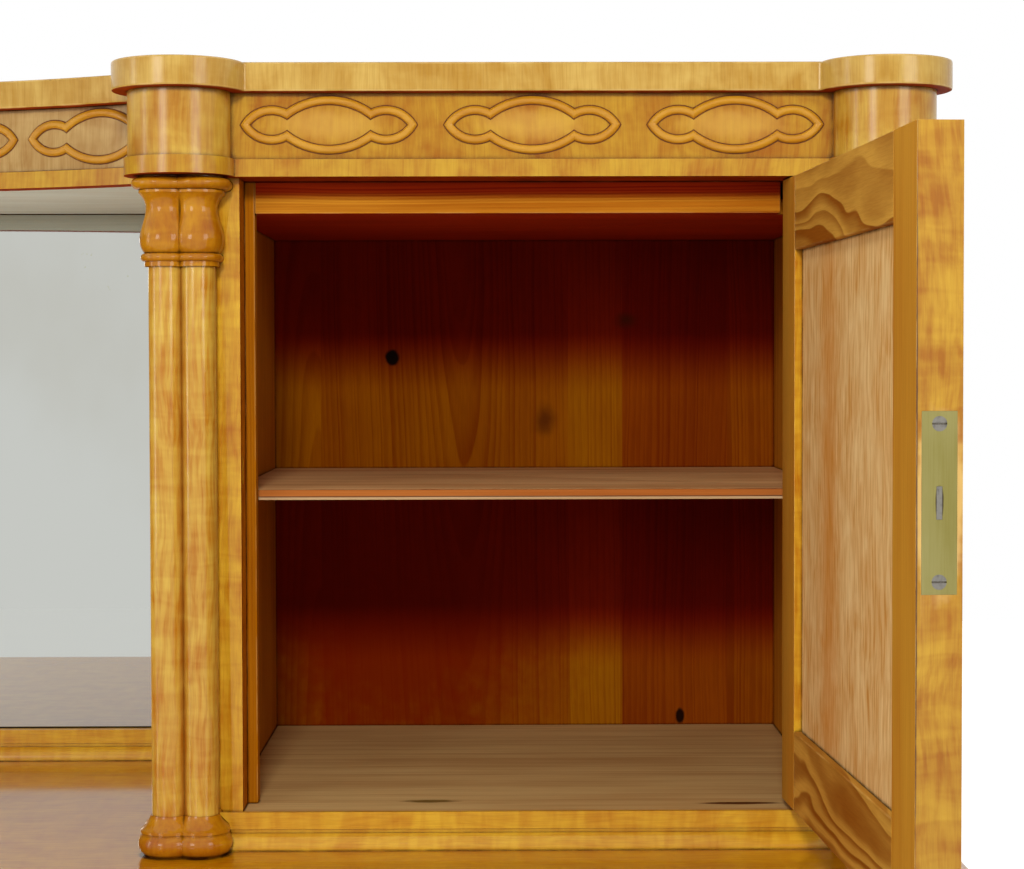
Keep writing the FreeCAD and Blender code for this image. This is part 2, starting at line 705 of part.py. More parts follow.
def base_moulding(length, behind):
    """A flat over a groove over a quarter round, drawn in YZ from the ground up."""
    ahead, flat = size.moulding_ahead, size.moulding_flat_ahead
    groove_top = size.floor_level - size.moulding_flat_height
    round_top = groove_top - size.moulding_groove_height
    groove = flat - size.moulding_groove_depth
    across_share, up_share = round_mid_shares
    swell = Vector(0, -(flat + (ahead - flat) * across_share), round_top * up_share)
    corners = [Vector(0, y, z) for y, z in (
        (-flat, round_top), (-groove, round_top), (-groove, groove_top), (-flat, groove_top),
        (-flat, size.floor_level), (behind, size.floor_level), (behind, 0), (-ahead, 0))]
    outline = Part.makePolygon(corners)
    swelling = Part.Arc(corners[-1], swell, corners[0]).toShape()
    profile = Part.Face(Part.Wire(outline.Edges + [swelling]))
    return profile.extrude(Vector(length, 0, 0)).translated(Vector(-length / 2, 0, 0))


def trim():
    """Rails and strips that the doors close against, and the mouldings at the foot of the
    cupboards and mirror. A rail ends short of the hanging stile, and a strip is on the lock's side."""
    stops, mouldings = [], []
    for side, hand in SIDES.items():
        stops.append(board(f"{side}_stop_rail", at(side, "(stop_strip_width - door_thick - stop_gap) / 2"),
                           "face + stop_setback", "base_height + ceiling_level",
                           "opening_width - stop_strip_width - door_thick - stop_gap", "rail_thick",
                           "opening_top - ceiling_level"))
        stops.append(board(f"{side}_stop_strip", at(side, "stop_strip_width / 2 - half_opening"),
                           "face + stop_setback", "base_height + floor_level", "stop_strip_width",
                           "stop_strip_depth", "opening_top - floor_level"))
        strip = base_moulding(size.drum_spacing, 0)
        strip.translate(Vector(hand * size.cupboard_place, size.face, size.base_height))
        mouldings.append(feature(f"{side}_moulding_strip", strip))
    subpart(group("stops_group", stops), "cupboard_door_stops")
    strips = group("moulding_strips", mouldings)
    subpart(cut("mouldings_fitted", strips, [upper_columns["feet"]]), "cupboard_base_mouldings")


# Band, frieze and cornice

def projecting_slab(name, side, level, height, ahead, drum_radius):
    """A slab over one cupboard with a round projection over each column. It stands out
    in front and on the outer side, and ends flush with the post beside the mirror."""
    slab = board(f"{name}_slab", at(side, f"{ahead} / 2"), f"face - {ahead}", level,
                 f"2 * post_outer + {ahead}", f"cupboard_depth + {ahead}", height)
    rounds = [rod(f"{name}_{end}_round", at(side, f"{sign} drum_place"), "drum_line", level,
                  drum_radius, height) for end, sign in (("outer", "+"), ("inner", "-"))]
    return fused(name, [slab] + rounds)


def frieze(side):
    """A box of four boards with a round block at each front corner."""
    level, height = "frieze_level", "frieze_height"
    pieces = [board(f"{side}_frieze_front", at(side, "frieze_ahead / 2"), "face - frieze_ahead", level,
                    "2 * post_outer + frieze_ahead", "frieze_wood", height)]
    for end, x in (("outer", "post_outer + frieze_ahead - frieze_wood / 2"),
                   ("inner", "frieze_wood / 2 - post_outer")):
        pieces.append(board(f"{side}_{end}_frieze_side", at(side, x), "face", level, "frieze_wood",
                            "cupboard_depth", height))
    pieces.append(board(f"{side}_frieze_back", at(side, "0"), "back_plane - frieze_wood", level,
                        "2 * post_outer", "frieze_wood", height))
    for end, sign in (("outer", "+"), ("inner", "-")):
        pieces.append(rod(f"{side}_{end}_frieze_round", at(side, f"{sign} drum_place"), "drum_line",
                          level, "drum_frieze_radius", height))
    return fused(f"{side}_frieze_box", pieces)


def hollowed(name, level, height, hollow_radius, back, outer_radius=None):
    """A board between the cupboards with a concave front. Where an outer radius is
    given, its back is parallel to its front."""
    block = board(f"{name}_block", "0", "arc_centre", level, "2 * arc_half", f"{back} - arc_centre", height)
    if outer_radius:
        block = common(f"{name}_bent", block,
                       rod(f"{name}_outer_round", "0", "arc_centre", level, outer_radius, height))
    return cut(name, block, [rod(f"{name}_hollow", "0", "arc_centre", level, hollow_radius, height)])


def bead(put):
    """A half-buried round bead along a cartouche of six arcs. put gives the place of a
    point from its distance along the frieze and its height over the middle."""
    tip, rise = size.cartouche_reach, size.cartouche_rise
    waist, waist_up, lobe, lobe_up = size.waist_place, size.waist_rise, size.lobe_place, size.lobe_rise
    half = [((-tip, 0), (-lobe, lobe_up), (-waist, waist_up)),
            ((-waist, waist_up), (0, rise), (waist, waist_up)),
            ((waist, waist_up), (lobe, lobe_up), (tip, 0))]
    arcs = half + [tuple((-along, -up) for along, up in arc) for arc in half]
    tubes = []
    for arc in arcs:
        path = Part.Arc(*[put(along, up) for along, up in arc]).toShape()
        start, heading = path.valueAt(path.FirstParameter), path.tangentAt(path.FirstParameter)
        section = Part.Wire(Part.makeCircle(size.bead_radius, start, heading))
        tubes.append(Part.Wire(path).makePipeShell([section], True, False))
        tubes.append(Part.makeSphere(size.bead_radius, start))
    return tubes[0].multiFuse(tubes[1:])


def cartouches(friezes):
    """Three on each cupboard's frieze and five along the concave one."""
    level = size.frieze_level + size.frieze_height / 2 + size.cartouche_lift
    front = size.face - size.frieze_ahead
    curve = size.arc_radius + size.arc_frieze_back
    flat_bead = bead(lambda along, up: Vector(along, front, level + up))
    bent_bead = bead(lambda along, up: Vector(curve * math.sin(along / curve),
                                              size.arc_centre + curve * math.cos(along / curve),
                                              level + up))
    beads = [flat_bead.translated(Vector(hand * size.cupboard_place + number * size.cartouche_spacing, 0, 0))
             for hand in SIDES.values() for number in range(-1, 2)]
    for number in range(-2, 3):
        turned = bent_bead.copy()
        turn = math.degrees(-number * size.arc_cartouche_spacing / curve)
        turned.rotate(Vector(0, size.arc_centre, 0), Vector(0, 0, 1), turn)
        beads.append(turned)
    whole = feature("bead_set", Part.makeCompound(beads))
    subpart(cut("beads_on_frieze", whole, friezes), "frieze_cartouches")


def entablature(pin_holes):
    friezes, cornices = [], []
    for side in SIDES:
        band = projecting_slab(f"{side}_band_slab", side, "band_level", "band_height", "band_ahead",
                               "drum_band_radius")
        subpart(cut(f"{side}_band_fitted", band, pin_holes[side]), f"{side}_band")
        friezes.append(subpart(frieze(side), f"{side}_frieze"))
        cornices.append(subpart(projecting_slab(f"{side}_cornice_slab", side, "cornice_level",
                                                "cornice_height", "cornice_ahead",
                                                "drum_cornice_radius"), f"{side}_cornice"))
    bands = [piece for piece in subparts if piece.Label in ("right_band", "left_band")]
    band = hollowed("centre_band_bent", "band_level", "band_height", "arc_radius", "back_plane",
                    "arc_radius + arc_band_wood")
    subpart(cut("centre_band_fitted", band, bands), "centre_band")
    friezes.append(subpart(hollowed("centre_frieze_bent", "frieze_level", "frieze_height",
                                    "arc_radius + arc_frieze_back", "back_plane",
                                    "arc_radius + arc_frieze_back + frieze_wood"), "centre_frieze"))
    cornice = hollowed("centre_cornice_bent", "cornice_level", "cornice_height",
                       "arc_radius - arc_cornice_ahead", "back_plane")
    subpart(cut("centre_cornice_fitted", cornice, cornices), "centre_cornice")
    subpart(hollowed("soffit_board", "band_level", "soffit_thick", "arc_radius + arc_band_wood",
                     "mirror_plane"), "mirror_soffit")
    cartouches(friezes)


def mirror():
    subpart(board("glass_sheet", "0", "mirror_plane", "base_height + glass_inset",
                  "2 * (niche_half - glass_inset)", "glass_thick",
                  "opening_top - glass_inset - glass_top_gap"),
            "mirror_glass")
    backing = board("glass_backing", "0", "mirror_plane + glass_thick", "base_height", "2 * niche_half",
                    "mirror_board_thick", "opening_top")
    upper = board("frieze_backing", "0", "mirror_plane + glass_thick", "band_level", "2 * arc_half",
                  "mirror_board_thick", "cornice_level - band_level")
    subpart(fused("backing_whole", [backing, upper]), "mirror_backboard")
    strip = base_moulding(2 * size.niche_half, size.mirror_moulding_thick - size.moulding_ahead)
    back_shift = size.mirror_moulding_thick - size.moulding_ahead
    strip.translate(Vector(0, size.mirror_plane - back_shift, size.base_height))
    subpart(feature("mirror_strip", strip), "mirror_moulding")


# The whole sideboard

plinth()
post_set, bottom_board = cabinet_boards()
drums(post_set)
dividers, top_rails, low_shelves = bay_boards()
low_holes = lower_doors()
subpart(cut("bottom_fitted", bottom_board, lower_cluster + low_holes), "base_bottom")
for bay, (middle, opening, _) in BAYS.items():
    drawer(bay, middle, opening)
subpart(cut("dividers_fitted", group("dividers_group", dividers), low_holes), "drawer_dividers")
subpart(group("top_rails_group", top_rails), "base_top_rails")
subpart(group("low_shelves_group", low_shelves), "base_shelves")
subpart(board("top_board", "0", "- top_depth / 2", "top_level", "top_width", "top_depth", "top_thick"),
        "base_top")
upper_holes = {side: upper_door(side) for side in SIDES}
cupboard_boards(upper_holes["right"] + upper_holes["left"])
for side in SIDES:
    cupboard(side)
trim()
entablature(upper_holes)
mirror()

doc.recompute()
for item in doc.Objects:
    if "Invalid" in item.State or "Error" in item.State:
        raise RuntimeError(f"{item.Name} failed: {item.State}")
for piece in subparts:
    if piece.Shape.isNull() or not piece.Shape.isValid():
        raise RuntimeError(f"{piece.Label} has no valid shape")

os.makedirs("parts", exist_ok=True)
for piece in subparts:
    piece.Shape.exportStep(f"parts/{piece.Label}.step")
    print(piece.Label, len(piece.Shape.Solids), "solids", round(piece.Shape.Volume), "mm3")
print(len(subparts), "sub-parts")
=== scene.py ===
"""Dresses the mirror-backed birch sideboard: its veneers, turned columns, beads, locks and stage.

Lengths are in metres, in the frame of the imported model: +Z is up and the front faces -Y.
"""

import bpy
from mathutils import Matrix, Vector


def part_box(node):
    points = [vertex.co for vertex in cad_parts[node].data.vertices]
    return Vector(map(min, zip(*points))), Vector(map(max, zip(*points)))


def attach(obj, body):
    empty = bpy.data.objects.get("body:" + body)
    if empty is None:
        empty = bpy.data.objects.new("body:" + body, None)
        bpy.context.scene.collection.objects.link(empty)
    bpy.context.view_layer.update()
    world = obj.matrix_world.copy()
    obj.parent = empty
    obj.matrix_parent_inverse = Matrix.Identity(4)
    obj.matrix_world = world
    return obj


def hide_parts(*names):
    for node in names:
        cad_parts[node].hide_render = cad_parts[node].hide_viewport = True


bl_info = {
    "name": "Birch sideboard",
    "version": (1, 0, 0),
    "blender": (4, 5, 0),
    "location": "View3D > Sidebar > Sideboard",
    "description": "Builds the finish and the fine parts of a mirror-backed birch sideboard",
    "category": "Object",
}

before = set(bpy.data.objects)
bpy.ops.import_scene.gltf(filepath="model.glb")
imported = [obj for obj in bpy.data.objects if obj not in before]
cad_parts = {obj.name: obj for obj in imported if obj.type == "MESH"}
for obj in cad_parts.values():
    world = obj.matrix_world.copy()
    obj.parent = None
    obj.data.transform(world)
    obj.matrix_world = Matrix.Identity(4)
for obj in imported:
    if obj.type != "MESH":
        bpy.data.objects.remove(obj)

import math
from math import radians

import bmesh
import bpy
from bpy.props import FloatProperty, FloatVectorProperty, PointerProperty
from mathutils import Matrix, Vector

CUPBOARD = 0.590            # from the middle of the sideboard to the middle of a cupboard
FRIEZE_FRONT = -0.051
CARTOUCHE_LIFT = 0.0009     # how far the cartouches sit above the middle of the frieze
CARTOUCHE_LEVEL = (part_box("centre_frieze")[0].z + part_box("centre_frieze")[1].z) / 2 + CARTOUCHE_LIFT
HOLLOW_RADIUS = 0.613       # of the concave frieze over the mirror
HOLLOW_AXIS = -0.526        # where the middle of that curve lies in y
BACK_OUTSIDE = 0.355        # the back boards' outer faces lie behind this y
DRUM_FROM = 0.2175          # the round corner blocks start this far from a cupboard's middle
STRIP_FROM = 0.19           # and so do the upright stops of its door
FREE_EDGE = -0.42           # the open door's free edge lies in front of this y
LOCK_PLATE = (0.8083, -0.4365, 1.158)
LOCK_SLOT = (0.8083, -0.4365, 1.1585)
# Where each back board starts, from a cupboard's middle, and how much deeper its tone is
BACK_TONES = ((-0.184, 0.15), (-0.018, 0.0), (0.039, -0.4), (0.088, 0.9), (0.183, -0.2))
UPRIGHT = (0, 0, 0)
ALONG = (0, radians(90), 0)
DEEP = (radians(90), 0, 0)


def paint(red, green, blue):
    """A colour mixed as it looks, from 0 to 255, in the linear light that shaders take."""
    parts = (part / 255 for part in (red, green, blue))
    return tuple(s / 12.92 if s <= 0.04045 else ((s + 0.055) / 1.055) ** 2.4 for s in parts)


def tint(name, description, red, green, blue):
    return FloatVectorProperty(name=name, description=description, subtype="COLOR", size=3,
                               min=0, max=1, default=paint(red, green, blue))


def length(name, description, default):
    return FloatProperty(name=name, description=description, default=default, min=0,
                         unit="LENGTH", precision=4)


def share(name, description, default):
    return FloatProperty(name=name, description=description, default=default, min=0, max=1,
                         subtype="FACTOR")


def power(name, description, default):
    return FloatProperty(name=name, description=description, default=default, min=0, unit="POWER")


class SideboardColours(bpy.types.PropertyGroup):
    """What the woods and metals are coloured."""
    birch: tint("Frieze birch", "Light part of the friezes' birch", 194, 148, 37)
    birch_deep: tint("Frieze birch, deep", "Deep part of its figure", 162, 96, 3)
    band_birch: tint("Band birch", "Light part of the bands under the friezes", 202, 158, 38)
    band_deep: tint("Band birch, deep", "Their deeper figure", 172, 108, 3)
    # The drums' birch is a lighter copy of the frieze birch: their pale sheen is painted into its colour.
    drum_birch: tint("Drum birch", "Light part of the round corner blocks", 212, 174, 70)
    drum_deep: tint("Drum birch, deep", "Their deeper figure", 174, 114, 10)
    cross_birch: tint("Cornice birch", "Light part of the cross-laid cornice", 208, 171, 84)
    cross_deep: tint("Cornice birch, deep", "Its darker clouds", 180, 132, 36)
    stile: tint("Stile birch", "Light part of the posts and mouldings", 224, 178, 46)
    stile_deep: tint("Stile birch, deep", "Their darker figure", 184, 112, 8)
    turned: tint("Turned birch", "Light part of the capitals and feet", 198, 138, 14)
    turned_deep: tint("Turned birch, deep", "Their darker figure", 158, 84, 0)
    shaft: tint("Shaft birch", "Light part of the shafts", 216, 178, 72)
    shaft_deep: tint("Shaft birch, deep", "Their orange streaks", 182, 112, 4)
    bead: tint("Bead birch", "Light part of the cartouches' beads", 206, 150, 40)
    bead_deep: tint("Bead birch, deep", "Its darker figure", 178, 112, 10)
    arc_birch: tint("Recessed veneer", "The concave frieze over the mirror", 194, 160, 96)
    arc_deep: tint("Recessed veneer, deep", "Its darker figure", 160, 114, 44)
    top_birch: tint("Top", "The polished top board", 210, 147, 3)
    top_deep: tint("Top, deep", "Its darker figure", 182, 108, 1)
    pine: tint("Pine", "Bare pine of the cases", 217, 183, 121)
    pine_deep: tint("Pine, deep", "Its late wood", 176, 128, 72)
    back_pine: tint("Back boards", "Red-brown pine of the back", 164, 102, 4)
    back_deep: tint("Back boards, deep", "Their late wood", 126, 54, 1)
    door_pine: tint("Door pine", "Pine panel of the door's inside", 246, 212, 150)
    door_deep: tint("Door pine, deep", "Its darker streaks", 208, 144, 58)
    rail_pine: tint("Rail pine", "Wildly figured rails of the door", 220, 168, 70)
    rail_deep: tint("Rail pine, deep", "Their brown flames", 146, 82, 14)
    wall_pine: tint("Wall pine", "Olive pine of the cupboard walls", 214, 146, 40)
    wall_deep: tint("Wall pine, deep", "Its late wood", 168, 96, 10)
    soffit: tint("Soffit", "Bare pale pine over the mirror", 216, 232, 226)
    soffit_deep: tint("Soffit, deep", "Its late wood", 196, 206, 194)
    # This crease colour stands for old dust and for painted shade in creases, joints and contacts.
    crease_dust_and_shade: tint("Crease dust and shade", "Old dirt in creases and joints", 56, 18, 1)
    brass: tint("Brass", "Lock plates", 148, 140, 84)
    steel: tint("Steel", "Screws and bolts", 132, 128, 120)


class SideboardSizes(bpy.types.PropertyGroup):
    """Fine sizes that the construction leaves to the finish."""
    softness: length("Edge softness", "Width of the worn arris on boards", 0.0009)
    bead: length("Bead", "Half the width of a cartouche's bead", 0.003)
    bead_rise: length("Bead rise", "How far a bead stands off the frieze", 0.003)
    bead_dust_and_shade: length("Bead dirt", "Width of the dirt along a bead", 0.0006)
    reach: length("Reach", "From a cartouche's middle to its tip", 0.0603)
    rise: length("Rise", "From a cartouche's middle to its crown", 0.0178)
    pitch: length("Pitch", "From one cartouche to the next over a cupboard", 0.1467)
    arc_pitch: length("Recess pitch", "From one cartouche to the next over the mirror", 0.137)
    lobe: length("Lobe", "Radius of a column's lobe", 0.0124)
    lobe_offset: length("Lobe offset", "From a column's middle planes to a lobe's axis", 0.0116)
    capital: length("Capital", "Height of a capital", 0.0649)
    foot: length("Foot", "Height of a column's foot", 0.0293)


class SideboardStage(bpy.types.PropertyGroup):
    """Camera and light."""
    lens: FloatProperty(name="Lens", description="Focal length on a 36 mm sensor", default=78.739,
                        min=10, unit="CAMERA")
    key: power("Lamp over the camera", "Power of the small lamp that casts the shadows", 23)
    front: power("Front lamps", "Power of the soft lamp in front on the right", 8)
    side: power("Left lamp", "Power of the lamp on the left", 5)
    niche: power("Soffit lamp", "Power of the lamp that lifts the soffit", 0.95)
    back: power("Lamps behind", "Power of each lamp behind the sideboard", 26)
    sky: share("Sky", "Strength of the light from all round", 0.32)


# Meshes

def merged(node):
    """A copy of a node's loose triangles, made into one surface of whole faces."""
    shell = bmesh.new()
    shell.from_mesh(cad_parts[node].data)
    bmesh.ops.remove_doubles(shell, verts=shell.verts, dist=2e-6)
    bmesh.ops.dissolve_limit(shell, angle_limit=radians(0.5), verts=shell.verts, edges=shell.edges)
    return shell


def everything(shell):
    return shell.verts[:] + shell.edges[:] + shell.faces[:]


def mirrored(shell, axes, near):
    """Mirrors a shape across planes through the origin, and joins points that come near."""
    for axis in axes:
        bmesh.ops.mirror(shell, geom=everything(shell), matrix=Matrix.Identity(4), merge_dist=near,
                         axis=axis)


def settled(shell, name):
    """A mesh of what was in the making."""
    mesh = bpy.data.meshes.new(name)
    shell.to_mesh(mesh)
    shell.free()
    return mesh


def stamped(shell, mesh):
    """Adds a mesh to what is in the making. Returns its points there."""
    before = len(shell.verts)
    shell.from_mesh(mesh)
    shell.verts.ensure_lookup_table()
    return shell.verts[before:]


def soften(shell, width, least_angle=40):
    """Rounds the sharp edges, and marks the new faces as worn."""
    worn = shell.faces.layers.float.new("worn")
    edges = [edge for edge in shell.edges if edge.is_manifold and edge.calc_length() > 2.2 * width
             and edge.calc_face_angle() > radians(least_angle)]
    if edges and width:
        made = bmesh.ops.bevel(shell, geom=edges, offset=width, offset_type="OFFSET", segments=2,
                               profile=0.5, affect="EDGES", clamp_overlap=True, material=-1)
        for face in made["faces"]:
            face[worn] = 1.0


def finished(name, shell, materials, body, replaces, pick=None, sharp=20):
    """Turns a mesh in the making into a piece that rides on a body. pick gives the number
    of a face's material."""
    if pick:
        for face in shell.faces:
            face.material_index = pick(face.normal, face.calc_center_median())
    mesh = settled(shell, name)
    mesh.shade_smooth()
    mesh.set_sharp_from_angle(angle=radians(sharp))
    piece = bpy.data.objects.new(name, mesh)
    bpy.context.scene.collection.objects.link(piece)
    for material in materials:
        mesh.materials.append(bpy.data.materials[material])
    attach(piece, body)
    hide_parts(*replaces)


def worked_board(node, materials, body="carcass", pick=None, softness=None):
    """A node's own shape with soft arrises."""
    shell = merged(node)
    shell.normal_update()
    soften(shell, bpy.context.scene.sideboard_sizes.softness if softness is None else softness)
    shell.normal_update()
    finished(node + "_worked", shell, materials, body, (node,), pick)


def painted(node, material):
    """A node that keeps its own mesh and takes a finish."""
    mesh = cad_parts[node].data
    mesh.materials.clear()
    mesh.materials.append(bpy.data.materials[material])


# Shader nodes

class Tree:
    """Adds nodes to a tree. A value sets a socket, and another node's socket is linked."""

    def __init__(self, tree):
        self.tree = tree

    def put(self, socket, value):
        if isinstance(value, bpy.types.NodeSocket):
            self.tree.links.new(value, socket)
        elif socket.type == "RGBA" and len(value) == 3:
            socket.default_value = (*value, 1)
        else:
            socket.default_value = value

    def add(self, kind, values=None, **settings):
        node = self.tree.nodes.new("ShaderNode" + kind)
        for name, value in settings.items():
            setattr(node, name, value)
        for name, value in (values or {}).items():
            self.put(node.inputs[name], value)
        return node

    def math(self, operation, *values, clamp=False):
        node = self.add("Math", operation=operation, use_clamp=clamp)
        for number, value in enumerate(values):
            self.put(node.inputs[number], value)
        return node.outputs[0]

    def vector(self, operation, *values):
        node = self.add("VectorMath", operation=operation)
        for number, value in enumerate(values):
            self.put(node.inputs[number], value)
        return node.outputs[0]

    def length(self, vector):
        return self.vector("LENGTH", vector).node.outputs["Value"]

    def scale(self, vector, factor):
        scaled = self.vector("SCALE", vector)
        self.put(scaled.node.inputs["Scale"], factor)
        return scaled

    def mix(self, factor, first, second, blend="MIX"):
        node = self.add("Mix", data_type="RGBA", blend_type=blend)
        for number, value in ((0, factor), (6, first), (7, second)):
            self.put(node.inputs[number], value)
        return node.outputs[2]

    def spread(self, value, low, high, new_low=0.0, new_high=1.0):
        node = self.add("MapRange", {"Value": value, "From Min": low, "From Max": high,
                                     "To Min": new_low, "To Max": new_high},
                        interpolation_type="SMOOTHSTEP")
        return node.outputs[0]

    def noise(self, vector, stretch, detail=2.0, distortion=0.0):
        scaled = self.vector("MULTIPLY", vector, stretch)
        return self.add("TexNoise", {"Vector": scaled, "Scale": 1.0, "Detail": detail,
                                     "Distortion": distortion}).outputs[0]

    def group(self, name, values):
        node = self.add("Group", node_tree=bpy.data.node_groups[name])
        for key, value in values.items():
            self.put(node.inputs[key], value)
        return node.outputs


SOCKETS = {"V": "NodeSocketVector", "C": "NodeSocketColor", "F": "NodeSocketFloat"}


def node_group(name, inputs, outputs):
    """A new shader group with named sockets. Returns its tree and its two ends."""
    group = bpy.data.node_groups.new(name, "ShaderNodeTree")
    for names, way in ((inputs, "INPUT"), (outputs, "OUTPUT")):
        for socket, kind in names.items():
            group.interface.new_socket(name=socket, in_out=way, socket_type=SOCKETS[kind])
    start, end = group.nodes.new("NodeGroupInput"), group.nodes.new("NodeGroupOutput")
    return Tree(group), start.outputs, end.inputs


def birch_group():
    """Satin birch: cloudy cross ripple over fine straight fibre. The grain runs along Z."""
    t, given, out = node_group("Satin birch", {
        "Vector": "V", "Light": "C", "Deep": "C", "Ripple": "F", "Cloud": "F", "Streak": "F",
        "Fibre": "F"}, {"Colour": "C", "Height": "F"})
    wander = t.add("TexNoise", {"Vector": given["Vector"], "Scale": 7.0, "Detail": 2.0}).outputs[1]
    wander = t.vector("SUBTRACT", wander, (0.5, 0.5, 0.5))
    moved = t.vector("ADD", given["Vector"], t.scale(wander, 0.03))
    ripple = t.spread(t.noise(moved, (22, 22, 105), 2, 0.5), 0.3, 0.7)
    cloud = t.spread(t.noise(moved, (34, 34, 26), 5, 0.5), 0.3, 0.7)
    streak = t.spread(t.noise(moved, (300, 300, 26), 2), 0.36, 0.72)
    fibre = t.spread(t.noise(given["Vector"], (1300, 1300, 40), 1), 0.42, 0.7)
    depth = t.math("MULTIPLY", ripple, given["Ripple"])
    depth = t.math("MULTIPLY_ADD", cloud, given["Cloud"], depth)
    depth = t.math("MULTIPLY_ADD", streak, given["Streak"], depth, clamp=True)
    colour = t.mix(depth, given["Light"], given["Deep"])
    darker = t.mix(1.0, colour, (0.74, 0.64, 0.4), "MULTIPLY")
    t.put(out["Colour"], t.mix(t.math("MULTIPLY", fibre, given["Fibre"]), colour, darker))
    t.put(out["Height"], fibre)


def pine_group():
    """Sawn pine: rings about an axis along Z, each darkening to its late wood."""
    t, given, out = node_group("Sawn pine", {
        "Vector": "V", "Light": "C", "Deep": "C", "Ring": "F", "Swirl": "F", "Contrast": "F",
        "Fibre": "F"}, {"Colour": "C", "Height": "F"})
    wander = t.add("TexNoise", {"Vector": t.vector("MULTIPLY", given["Vector"], (5, 5, 1.6)),
                                "Scale": 1.0, "Detail": 3.5, "Roughness": 0.6}).outputs[1]
    wander = t.vector("SUBTRACT", wander, (0.5, 0.5, 0.5))
    moved = t.vector("ADD", given["Vector"], t.scale(wander, given["Swirl"]))
    years = t.math("DIVIDE", t.length(t.vector("MULTIPLY", moved, (1, 1, 0))), given["Ring"])
    pace = t.add("TexNoise", {"W": years, "Scale": 0.35, "Detail": 2.0}, noise_dimensions="1D").outputs[0]
    years = t.math("MULTIPLY_ADD", pace, 3.0, years)
    rings = t.math("FRACT", years)
    late = t.math("MULTIPLY", t.spread(rings, 0.15, 0.88), t.spread(rings, 1.0, 0.9))
    year = t.add("TexWhiteNoise", {"W": t.math("FLOOR", years)}, noise_dimensions="1D").outputs[0]
    late = t.math("MULTIPLY", late, t.math("MULTIPLY_ADD", year, 0.7, 0.3))
    cloud = t.spread(t.noise(given["Vector"], (16, 16, 5), 4), 0.3, 0.7)
    fibre = t.spread(t.noise(given["Vector"], (900, 900, 11), 2), 0.35, 0.7)
    depth = t.math("MULTIPLY", late, given["Contrast"])
    depth = t.math("MULTIPLY_ADD", cloud, 0.4, depth, clamp=True)
    colour = t.mix(depth, given["Light"], given["Deep"])
    darker = t.mix(1.0, colour, (0.7, 0.56, 0.4), "MULTIPLY")
    t.put(out["Colour"], t.mix(t.math("MULTIPLY", fibre, given["Fibre"]), colour, darker))
    t.put(out["Height"], fibre)


def wear_and_shade_group():
    """Dark colour where a crease is deep, for dust and painted shade together, and bare wood on worn
    arrises.
    """
    t, given, out = node_group("Age", {
        "Colour": "C", "Vector": "V", "Dirt colour": "C", "Crease": "F", "Dust and shade": "F",
        "Worn": "F", "Wear": "F"}, {"Colour": "C", "Dust and shade": "F"})
    patch = t.spread(t.noise(given["Vector"], (60, 60, 60), 3), 0.25, 0.6, 0.55, 1.0)
    dirt = t.math("MULTIPLY", t.math("MULTIPLY", given["Crease"], given["Dust and shade"]), patch, clamp=True)
    rub = t.spread(t.noise(given["Vector"], (34, 34, 34), 3), 0.38, 0.62)
    rub = t.math("MULTIPLY", t.math("MULTIPLY", rub, given["Worn"]), given["Wear"], clamp=True)
    colour = t.mix(rub, given["Colour"], t.mix(0.45, given["Colour"], (0.95, 0.66, 0.26)))
    t.put(out["Colour"], t.mix(dirt, colour, given["Dirt colour"]))
    t.put(out["Dust and shade"], dirt)


def joint_group():
    """Back boards of several widths side by side. Each shifts the grain and has its own tone."""
    t, given, out = node_group("Jointed boards", {"Vector": "V"}, {"Vector": "V", "Tone": "F"})
    along = t.add("SeparateXYZ", {"Vector": given["Vector"]}).outputs[0]
    across = t.math("SUBTRACT", t.math("ABSOLUTE", along), CUPBOARD)
    number, tone = 0.0, 0.3
    for joint, deeper in BACK_TONES:
        past = t.math("GREATER_THAN", across, joint)
        number = t.math("ADD", number, past)
        tone = t.math("MULTIPLY_ADD", past, deeper, tone)
    chance = t.add("TexWhiteNoise", {"W": number}, noise_dimensions="1D")
    t.put(out["Vector"], t.vector("ADD", given["Vector"],
                                  t.vector("MULTIPLY", chance.outputs[1], (0.3, 0.12, 1.4))))
    t.put(out["Tone"], tone)


def mark_group():
    """A soft round or drawn-out mark at a place."""
    t, given, out = node_group("Mark", {"Vector": "V", "Place": "V", "Stretch": "V", "Edge": "F"},
                               {"Mask": "F"})
    away = t.vector("MULTIPLY", t.vector("SUBTRACT", given["Vector"], given["Place"]),
                    given["Stretch"])
    ragged = t.math("MULTIPLY_ADD", t.noise(given["Vector"], (90, 90, 90), 2), 0.5, t.length(away))
    t.put(out["Mask"], t.spread(t.math("SUBTRACT", ragged, 0.25), 1.0, t.math(
        "SUBTRACT", 1.0, given["Edge"])))


def blank(name):
    material = bpy.data.materials.new(name)
    material.use_nodes = True
    material.node_tree.nodes.clear()
    return Tree(material.node_tree)


def shade(t, values):
    t.put(t.add("OutputMaterial").inputs["Surface"], t.add("BsdfPrincipled", values).outputs[0])


